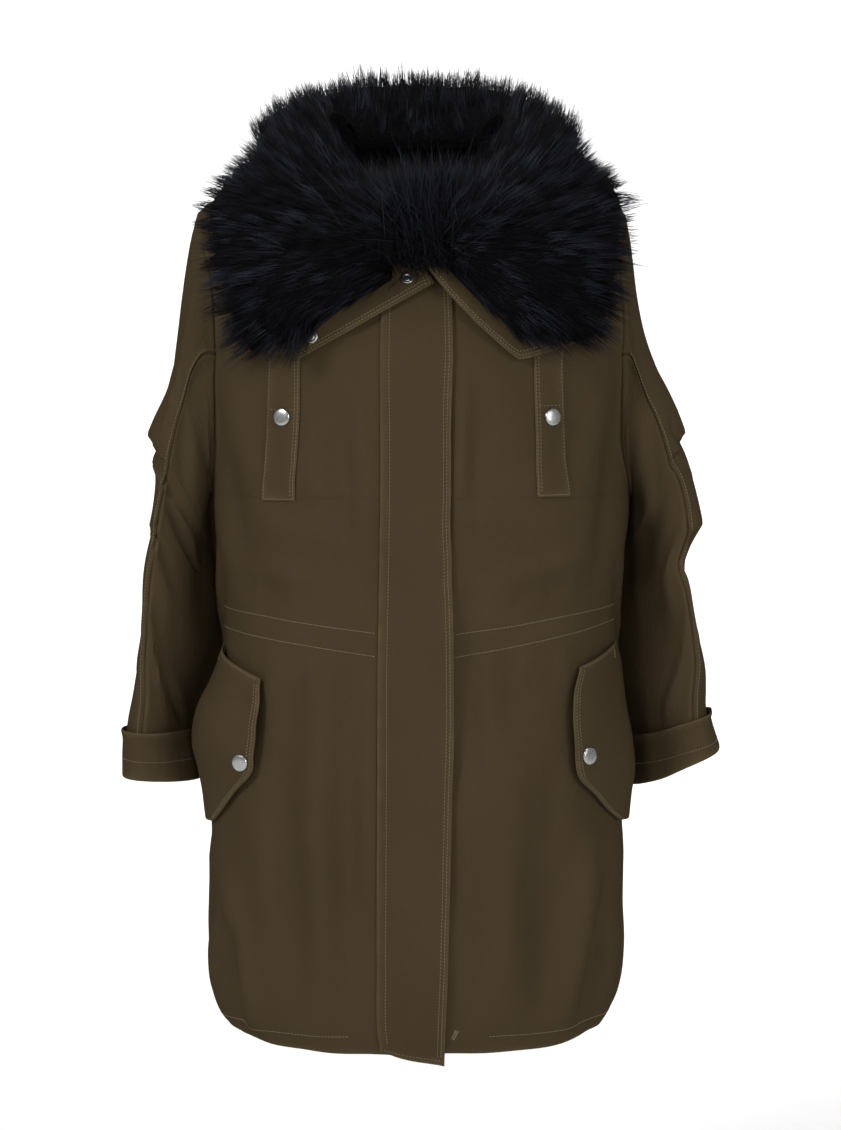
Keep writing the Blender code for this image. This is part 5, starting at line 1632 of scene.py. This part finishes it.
def sew_slit(thread_work):
    """A small slanting slit beside the fly near the hem, with its edges sewn over."""
    low, high = np.array(HEM_SLIT[0]), np.array(HEM_SLIT[1])
    line = front_line([low + (high - low) * share for share in np.linspace(0, 1, 13)])
    places, normals = laid_on(FRONTS, line)
    along = unit(np.gradient(places, axis=0))
    across = unit(np.cross(normals, along))
    for side in (-1, 1):
        thread_work.add(places + across * side * 1.1 * MM, across, normals, 1.8 * MM, 0.34 * MM)


def sew_collar():
    work = Sewing("stitches_collar", own_thread())
    for word in ("left", "right"):
        work.sew(f"collar_{word}", COLLAR_SEAMS)
    work.finish_off()


def sew_sleeves():
    work = Sewing("stitches_sleeves", own_thread())
    for word in ("left", "right"):
        work.sew(f"cuff_{word}", [(30, "first_row", 0, 1)])
        work.sew(f"sleeve_top_{word}", SLEEVE_SEAMS)
    work.finish_off()


# Snaps


def deselect_all():
    if bpy.context.mode != "OBJECT":
        bpy.ops.object.mode_set(mode="OBJECT")
    bpy.ops.object.select_all(action="DESELECT")


def select_top(obj):
    """Selects the many-sided face that is on top."""
    bpy.ops.object.mode_set(mode="OBJECT")
    for face in obj.data.polygons:
        face.select = face.normal.z > 0.9 and len(face.vertices) > 4
    bpy.ops.object.mode_set(mode="EDIT")


def turned_disc(name, radius, height, rings, finish):
    """A round piece from a cylinder: its top is inset and raised or sunk step by step, and its edges are rounded."""
    deselect_all()
    bpy.ops.mesh.primitive_cylinder_add(vertices=40, radius=radius, depth=height, location=(0, 0, height / 2))
    made = bpy.context.active_object
    made.name = name
    made.data.name = name
    bpy.ops.object.transform_apply(location=True)
    bpy.ops.object.mode_set(mode="EDIT")
    bpy.ops.mesh.select_mode(type="FACE")
    for thickness, depth in rings:
        select_top(made)
        bpy.ops.mesh.inset(thickness=thickness * MM, depth=depth * MM, use_boundary=True)
    bpy.ops.object.mode_set(mode="OBJECT")
    bevel = made.modifiers.new("edges", "BEVEL")
    bevel.width = 0.22 * MM
    bevel.segments = 2
    bevel.limit_method = "ANGLE"
    bevel.angle_limit = math.radians(28)
    bpy.ops.object.modifier_apply(modifier="edges")
    bpy.ops.object.shade_smooth_by_angle(angle=math.radians(24))
    made.data.materials.append(finish)
    return made


def place_copy(pattern, name, place, axis, node):
    """A copy with its own mesh, its foot on a place and its top towards an axis."""
    mesh = pattern.data.copy()
    mesh.name = name
    turn = Vector((0, 0, 1)).rotation_difference(Vector(axis)).to_matrix().to_4x4()
    mesh.transform(Matrix.Translation(Vector(place)) @ turn)
    made = bpy.data.objects.new(name, mesh)
    bpy.context.scene.collection.objects.link(made)
    finish_piece(made, [node])


def place_on(pattern, node, part, cloth, near):
    """Seats a copy of a metal part on the cloth nearest to a point."""
    place, normal = laid_on((cloth,), near)
    place_copy(pattern, f"{node}_{part}", place[0] - normal[0] * SNAP_SINKING, normal[0], node)


# The collar's sockets: the angle, and the share of the way from the neck seam to the free edge.
SOCKETS = (("upper", 8.0, 0.77), ("lower", 35.0, 0.915))
# How far in and how far up each next ring of a metal part's face lies, in millimetres.
CAP_RINGS = ((0.7, 0.75), (1.1, 0.45), (2.0, 0.3), (2.6, 0.14))
SOCKET_RINGS = ((0.9, 0.35), (0.9, 0.0), (0.5, -1.2), (0.7, 0.0), (0.4, 0.5))
SNAP_SINKING = 0.1 * MM


def make_snaps():
    cap = turned_disc("snap_cap", SNAP_RADIUS, 1.5 * MM, CAP_RINGS, steel_finish("snap_cap_steel", 0.27))
    for side, word in SIDES.items():
        x, z = (value * MM for value in SNAP_ON_TAB[side])
        point = front_place(np.array([x]), np.array([z]))[0]
        place_on(cap, f"chest_snap_{word}", "cap", f"chest_tab_{word}_cloth", point)
        across, down = SNAP_ON_FLAP[side]
        point = flap_face(side, np.array([down]), np.array([across]))
        place_on(cap, f"pocket_snap_{word}", "cap", f"pocket_flap_{word}_cloth", point)
    ring = turned_disc("socket_ring", SOCKET_RADIUS, 1.7 * MM, SOCKET_RINGS, steel_finish("socket_steel", 0.32))
    for name, around, share in SOCKETS:
        near = collar_profile(RIGHT, around, (share - 0.02, share, share + 0.02))
        point = near[1:2] - np.array([[0, 3 * MM, 0]])
        place_on(ring, f"collar_socket_{name}", "ring", "collar_right_cloth", point)
    for pattern in (cap, ring):
        bpy.data.objects.remove(pattern, do_unlink=True)


# Finishes


def new_group(name, inputs, outputs):
    """A node group with named sockets. An input without a default is a vector."""
    group = bpy.data.node_groups.new(name, "ShaderNodeTree")
    for label, default in inputs.items():
        kind = "NodeSocketVector" if default is None else "NodeSocketFloat"
        made = group.interface.new_socket(name=label, in_out="INPUT", socket_type=kind)
        if default is not None:
            made.default_value = default
    for label in outputs:
        group.interface.new_socket(name=label, in_out="OUTPUT", socket_type="NodeSocketFloat")
    return group, group.nodes.new("NodeGroupInput"), group.nodes.new("NodeGroupOutput")


def put(socket, value):
    """Links another node's socket to this one, or sets its number."""
    if isinstance(value, bpy.types.NodeSocket):
        socket.id_data.links.new(value, socket)
    else:
        socket.default_value = value


def maths(tree, kind, first, second=0.0):
    node = tree.nodes.new("ShaderNodeMath")
    node.operation = kind
    put(node.inputs[0], first)
    put(node.inputs[1], second)
    return node.outputs[0]


def times(tree, first, second):
    return maths(tree, "MULTIPLY", first, second)


def plus(tree, first, second):
    return maths(tree, "ADD", first, second)


def noise(tree, vector, scale, detail=2.0, stretch=(1.0, 1.0, 1.0)):
    mapping = tree.nodes.new("ShaderNodeMapping")
    mapping.inputs["Scale"].default_value = stretch
    put(mapping.inputs["Vector"], vector)
    node = tree.nodes.new("ShaderNodeTexNoise")
    put(node.inputs["Vector"], mapping.outputs[0])
    put(node.inputs["Scale"], scale)
    node.inputs["Detail"].default_value = detail
    return node.outputs["Fac"]


def blend_colours(tree, share, first, second):
    node = tree.nodes.new("ShaderNodeMix")
    node.data_type = "RGBA"
    put(node.inputs["Factor"], share)
    put(node.inputs[6], first)
    put(node.inputs[7], second)
    return node.outputs[2]


def weave_group():
    """Fine slanting ribs of twill. The height and the shade are 0 between threads and 1 on them."""
    group, taken, given = new_group("twill_weave", {"Vector": None, "Pitch": 0.0009}, ("Height", "Shade"))
    parts = group.nodes.new("ShaderNodeSeparateXYZ")
    put(parts.inputs[0], taken.outputs["Vector"])
    turns = maths(group, "DIVIDE", 6.28319, taken.outputs["Pitch"])
    rib = times(group, plus(group, parts.outputs[0], parts.outputs[1]), turns)
    thread_turns = times(group, times(group, parts.outputs[1], turns), 1.6)
    slant = maths(group, "SINE", rib)
    cross = maths(group, "SINE", thread_turns)
    both = plus(group, slant, times(group, cross, 0.4))
    height = plus(group, times(group, both, 0.36), 0.5)
    put(given.inputs["Height"], height)
    put(given.inputs["Shade"], height)
    return group


def mottle_group():
    """Soft lighter and darker patches at random, and long fine streaks, from 0 to 1."""
    group, taken, given = new_group("cloth_mottle", {"Vector": None, "Scale": 9.0}, ("Mask", "Streak"))
    place = taken.outputs["Vector"]
    wide = noise(group, place, taken.outputs["Scale"], 3.0)
    fine = noise(group, place, 170.0, 2.0)
    both = plus(group, times(group, wide, 0.75), times(group, fine, 0.25))
    put(given.inputs["Mask"], both)
    put(given.inputs["Streak"], noise(group, place, 42.0, 3.0, (1.0, 0.22, 1.0)))
    return group


def edge_wear_and_highlight_group():
    """Rubbed edges with a painted highlight on their seam ridges: a mask along the piece's edges, broken up by noise.
    """
    group, taken, given = new_group("edge_wear_and_highlight", {"Edge": 0.0, "Vector": None}, ("Mask", "Pucker"))
    edge, place = taken.outputs["Edge"], taken.outputs["Vector"]
    patches = noise(group, place, 60.0, 3.0)
    put(given.inputs["Mask"], times(group, maths(group, "POWER", edge, 2.0), patches))
    gathers = noise(group, place, 190.0, 2.0)
    put(given.inputs["Pucker"], times(group, gathers, edge))
    return group


def place_group(tree, group, place):
    node = tree.nodes.new("ShaderNodeGroup")
    node.node_tree = group
    put(node.inputs["Vector"], place)
    return node


def attribute(tree, name):
    node = tree.nodes.new("ShaderNodeAttribute")
    node.attribute_name = name
    return node.outputs["Fac"]


def object_place(tree):
    return tree.nodes.new("ShaderNodeTexCoord").outputs["Object"]


def tinted(colour, share=1.0):
    return (*(share * part for part in colour), 1.0)


def bump(tree, height, distance, strength=1.0, before=None):
    node = tree.nodes.new("ShaderNodeBump")
    node.inputs["Distance"].default_value = distance
    node.inputs["Strength"].default_value = strength
    put(node.inputs["Height"], height)
    if before is not None:
        put(node.inputs["Normal"], before)
    return node.outputs["Normal"]


def made_once(paint):
    """Gives the finish of this name that is there already, or a new one that the function paints."""

    def finish(name, *values):
        found = bpy.data.materials.get(name)
        if found is None:
            found = bpy.data.materials.new(name)
            found.use_nodes = True
            paint(found.node_tree, found.node_tree.nodes["Principled BSDF"], *values)
        return found

    return finish


@made_once
def twill_finish(tree, shader):
    """The coat's cloth: a close nylon twill with a dull lustre."""
    cloth = bpy.context.scene.parka_colours.cloth
    uv = tree.nodes.new("ShaderNodeUVMap")
    uv.uv_map = "UVMap"
    uv = uv.outputs["UV"]
    weave = place_group(tree, weave_group(), uv)
    weave.inputs["Pitch"].default_value = bpy.context.scene.parka_sizes.weave_pitch
    mottle = place_group(tree, mottle_group(), uv)
    wear_and_highlight = place_group(tree, edge_wear_and_highlight_group(), uv)
    put(wear_and_highlight.inputs["Edge"], attribute(tree, "edge"))
    colour = blend_colours(tree, mottle.outputs["Mask"], tinted(cloth, 0.84), tinted(cloth, 1.14))
    colour = blend_colours(tree, times(tree, weave.outputs["Shade"], 0.25), colour, tinted(cloth))
    # the edges are painted up to 2.3 times lighter: partly rubbed wear, partly a painted highlight on the seam ridges
    worn_and_lit = times(tree, wear_and_highlight.outputs["Mask"], 0.8)
    put(shader.inputs["Base Color"], blend_colours(tree, worn_and_lit, colour, tinted(cloth, 2.3)))
    rough = plus(tree, times(tree, mottle.outputs["Streak"], 0.2), 0.66)
    put(shader.inputs["Roughness"], rough)
    shader.inputs["Specular IOR Level"].default_value = 0.0
    normal = bump(tree, mottle.outputs["Mask"], 5 * MM, 0.55)
    normal = bump(tree, mottle.outputs["Streak"], 1.8 * MM, 0.6, normal)
    normal = bump(tree, wear_and_highlight.outputs["Pucker"], 0.8 * MM, 0.8, normal)
    put(shader.inputs["Normal"], bump(tree, weave.outputs["Height"], 0.12 * MM, 0.5, normal))


@made_once
def thread_finish(tree, shader, tone):
    place = object_place(tree)
    colour = blend_colours(tree, noise(tree, place, 400.0), tinted(tone, 0.75), tinted(tone, 1.25))
    put(shader.inputs["Base Color"], colour)
    put(shader.inputs["Normal"], bump(tree, noise(tree, place, 2600.0, 1.0), 0.1 * MM, 0.6))
    shader.inputs["Roughness"].default_value = 0.5


@made_once
def steel_finish(tree, shader, roughness):
    """Bright nickel with a fine dull grain and small marks."""
    metal = bpy.context.scene.parka_colours.metal
    place = object_place(tree)
    marks = noise(tree, place, 700.0, 3.0)
    put(shader.inputs["Base Color"], blend_colours(tree, marks, tinted(metal, 0.8), tinted(metal)))
    shader.inputs["Metallic"].default_value = 1.0
    put(shader.inputs["Roughness"], plus(tree, times(tree, marks, 0.12), roughness - 0.06))
    put(shader.inputs["Normal"], bump(tree, noise(tree, place, 1500.0, 2.0), 0.02 * MM, 0.5))


@made_once
def underfur_finish(tree, shader):
    fur = bpy.context.scene.parka_colours.fur
    clumps = noise(tree, object_place(tree), 260.0, 4.0)
    put(shader.inputs["Base Color"], blend_colours(tree, clumps, tinted(fur, 0.5), tinted(fur)))
    put(shader.inputs["Normal"], bump(tree, clumps, 4 * MM, 1.0))
    shader.inputs["Roughness"].default_value = 0.8
    shader.inputs["Specular IOR Level"].default_value = 0.05


@made_once
def pile_finish(tree, shader):
    """Black glossy hair with a painted blue-grey highlight on the hairs that would catch the light."""
    colours = bpy.context.scene.parka_colours
    highlight_share = attribute(tree, "highlight_share")
    colour = blend_colours(tree, highlight_share, tinted(colours.fur), tinted(colours.fur_highlight))
    put(shader.inputs["Base Color"], colour)
    put(shader.inputs["Roughness"], maths(tree, "SUBTRACT", 0.62, times(tree, highlight_share, 0.2)))
    shader.inputs["Specular IOR Level"].default_value = 0.06


@made_once
def paper_finish(tree, shader):
    shader.inputs["Base Color"].default_value = (0.86, 0.86, 0.86, 1.0)
    shader.inputs["Roughness"].default_value = 0.9


# Studio


def add_light(name, place, turn, size, power):
    deselect_all()
    bpy.ops.object.light_add(type="AREA", location=place, rotation=turn)
    light = bpy.context.active_object
    light.name = name
    light.data.size = size
    light.data.energy = power
    return light


def make_stage():
    """A pale floor that curves up into the back wall, soft lights, and the camera."""
    deselect_all()
    bpy.ops.mesh.primitive_plane_add(size=1.0, location=(0, 0, 0))
    floor = bpy.context.active_object
    floor.name = "studio_floor"
    bpy.ops.object.mode_set(mode="EDIT")
    bpy.ops.transform.resize(value=FLOOR_SIZE)
    bpy.ops.mesh.select_mode(type="EDGE")
    bpy.ops.mesh.select_all(action="DESELECT")
    bpy.ops.object.mode_set(mode="OBJECT")
    for edge in floor.data.edges:
        ends = [floor.data.vertices[i].co.y for i in edge.vertices]
        edge.select = min(ends) > 1.0
    bpy.ops.object.mode_set(mode="EDIT")
    bpy.ops.mesh.extrude_region_move(TRANSFORM_OT_translate={"value": (0, 0, WALL_HEIGHT)})
    bpy.ops.object.mode_set(mode="OBJECT")
    curve = floor.modifiers.new("curve", "BEVEL")
    curve.width = FLOOR_CURVE
    curve.segments = 16
    bpy.ops.object.modifier_apply(modifier="curve")
    bpy.ops.object.shade_smooth()
    floor.data.transform(Matrix.Translation((0, FLOOR_SHIFT, FLOOR_LEVEL)))
    floor.data.materials.append(paper_finish("studio_paper"))
    for lamp in LAMPS:
        place = Vector((lamp.x, lamp.y, lamp.z))
        turn = (LIT_PLACE - place).to_track_quat("-Z", "Y").to_euler()
        add_light(lamp.name, place, turn, lamp.size, lamp.power)
    x, y, z = WALL_LIGHT_PLACE
    turn = (math.radians(WALL_LIGHT_TILT), 0, 0)
    for place in ((-x, y, z), (x, y, z)):
        add_light("wall_light", place, turn, WALL_LIGHT_SIZE, WALL_LIGHT_POWER)
    world = bpy.data.worlds.new("studio")
    world.use_nodes = True
    world.node_tree.nodes["Background"].inputs["Color"].default_value = (1.0, 1.0, 1.0, 1.0)
    world.node_tree.nodes["Background"].inputs["Strength"].default_value = WORLD_STRENGTH
    bpy.context.scene.world = world
    bpy.context.scene.view_settings.view_transform = "Standard"
    bpy.ops.object.camera_add(location=CAMERA_PLACE, rotation=(math.radians(CAMERA_TILT), 0, 0))
    camera = bpy.context.active_object
    camera.name = "photo_camera"
    camera.data.sensor_width = CAMERA_SENSOR
    camera.data.lens = CAMERA_LENS
    bpy.context.scene.camera = camera


# The add-on


class ParkaSizes(bpy.types.PropertyGroup):
    """Sizes that change how the coat is dressed."""

    crease_depth: FloatProperty(
        name="Crease Depth", description="How deep the cloth's creases are, as a share", default=2.3, min=0, max=4
    )
    weave_pitch: FloatProperty(
        name="Weave Pitch", description="Distance between the twill's ribs", default=0.0009, unit="LENGTH"
    )
    hair_count: IntProperty(name="Hair Count", description="How many hairs the pile has", default=27500, min=100)
    hair_size: FloatProperty(
        name="Hair Size", description="How thick the hairs are, as a share", default=1.0, subtype="FACTOR", max=3
    )
    underfur_depth: FloatProperty(
        name="Underfur Depth",
        description="The short fur's share of the pile's length",
        default=0.8,
        subtype="FACTOR",
    )


class ParkaColours(bpy.types.PropertyGroup):
    """Colours of the coat's finishes."""

    cloth: FloatVectorProperty(
        name="Cloth", description="Colour of the twill", default=(0.0455, 0.0325, 0.0175), subtype="COLOR"
    )
    thread: FloatVectorProperty(
        name="Thread", description="Colour of the coat's thread", default=(0.125, 0.1, 0.058), subtype="COLOR"
    )
    pale_thread: FloatVectorProperty(
        name="Pale Thread", description="Colour of the waist's thread", default=(0.15, 0.135, 0.075), subtype="COLOR"
    )
    fur: FloatVectorProperty(
        name="Fur", description="Colour of the fur's depth", default=(0.0016, 0.0016, 0.0022), subtype="COLOR"
    )
    # the colour of the painted highlight on the hairs
    fur_highlight: FloatVectorProperty(
        name="Fur Lustre",
        description="Colour of the hairs that shine",
        default=(0.0215, 0.0235, 0.035),
        subtype="COLOR",
    )
    metal: FloatVectorProperty(
        name="Metal", description="Colour of the snaps", default=(0.4, 0.4, 0.39), subtype="COLOR"
    )


class PARKA_OT_body(bpy.types.Operator):
    """Add the two fronts and the back, with their creases"""

    bl_idname = "parka.body"
    bl_label = "Fronts and Back"

    def execute(self, context):
        make_body()
        return {"FINISHED"}


class PARKA_OT_sleeves(bpy.types.Operator):
    """Add the two-piece sleeves and their turned-up cuffs"""

    bl_idname = "parka.sleeves"
    bl_label = "Sleeves and Cuffs"

    def execute(self, context):
        for side, word in SIDES.items():
            make_sleeve(side, word)
            make_cuff(side, word)
        return {"FINISHED"}


class PARKA_OT_fly(bpy.types.Operator):
    """Add the fly over the front closing"""

    bl_idname = "parka.fly"
    bl_label = "Fly"

    def execute(self, context):
        make_fly()
        return {"FINISHED"}


class PARKA_OT_tabs(bpy.types.Operator):
    """Add the chest tabs and the pocket flaps"""

    bl_idname = "parka.tabs"
    bl_label = "Tabs and Flaps"

    def execute(self, context):
        for side, word in SIDES.items():
            make_tab(side, word)
            make_flap(side, word)
        return {"FINISHED"}


class PARKA_OT_collar(bpy.types.Operator):
    """Add the two halves of the folded collar"""

    bl_idname = "parka.collar"
    bl_label = "Collar"

    def execute(self, context):
        for side, word in SIDES.items():
            make_collar(side, word)
        return {"FINISHED"}


class PARKA_OT_fur(bpy.types.Operator):
    """Add the fur: its dense ground and its long pile"""

    bl_idname = "parka.fur"
    bl_label = "Fur"

    def execute(self, context):
        make_pile()
        return {"FINISHED"}


class PARKA_OT_sewing(bpy.types.Operator):
    """Add the stitches, on the pieces that are there"""

    bl_idname = "parka.sewing"
    bl_label = "Sewing"

    def execute(self, context):
        sew_body()
        sew_collar()
        sew_sleeves()
        return {"FINISHED"}


class PARKA_OT_snaps(bpy.types.Operator):
    """Add the snap caps and sockets, on the pieces that are there"""

    bl_idname = "parka.snaps"
    bl_label = "Snaps"

    def execute(self, context):
        make_snaps()
        return {"FINISHED"}


class PARKA_OT_stage(bpy.types.Operator):
    """Add the pale floor, the lights and the camera"""

    bl_idname = "parka.stage"
    bl_label = "Stage"

    def execute(self, context):
        make_stage()
        return {"FINISHED"}


STEPS = (
    PARKA_OT_body,
    PARKA_OT_sleeves,
    PARKA_OT_fly,
    PARKA_OT_tabs,
    PARKA_OT_collar,
    PARKA_OT_fur,
    PARKA_OT_sewing,
    PARKA_OT_snaps,
    PARKA_OT_stage,
)


class PARKA_PT_panel(bpy.types.Panel):
    """The coat's sizes, colours and steps"""

    bl_idname = "PARKA_PT_panel"
    bl_label = "Parka Coat"
    bl_space_type = "VIEW_3D"
    bl_region_type = "UI"
    bl_category = "Parka"

    def draw(self, context):
        for group in (context.scene.parka_sizes, context.scene.parka_colours):
            box = self.layout.box()
            for name in group.__annotations__:
                box.prop(group, name)
        for step in STEPS:
            self.layout.operator(step.bl_idname)


CLASSES = (ParkaSizes, ParkaColours, *STEPS, PARKA_PT_panel)


def register():
    for made in CLASSES:
        bpy.utils.register_class(made)
    bpy.types.Scene.parka_sizes = PointerProperty(type=ParkaSizes)
    bpy.types.Scene.parka_colours = PointerProperty(type=ParkaColours)


def unregister():
    del bpy.types.Scene.parka_sizes
    del bpy.types.Scene.parka_colours
    for made in reversed(CLASSES):
        bpy.utils.unregister_class(made)


def corners(box):
    return [[float(value) for value in corner] for corner in box]


def main():
    register()
    bpy.ops.parka.body()
    bpy.ops.parka.sleeves()
    bpy.ops.parka.fly()
    bpy.ops.parka.tabs()
    bpy.ops.parka.collar()
    bpy.ops.parka.fur()
    bpy.ops.parka.sewing()
    bpy.ops.parka.snaps()
    bpy.ops.parka.stage()


if __name__ == "__main__":
    main()
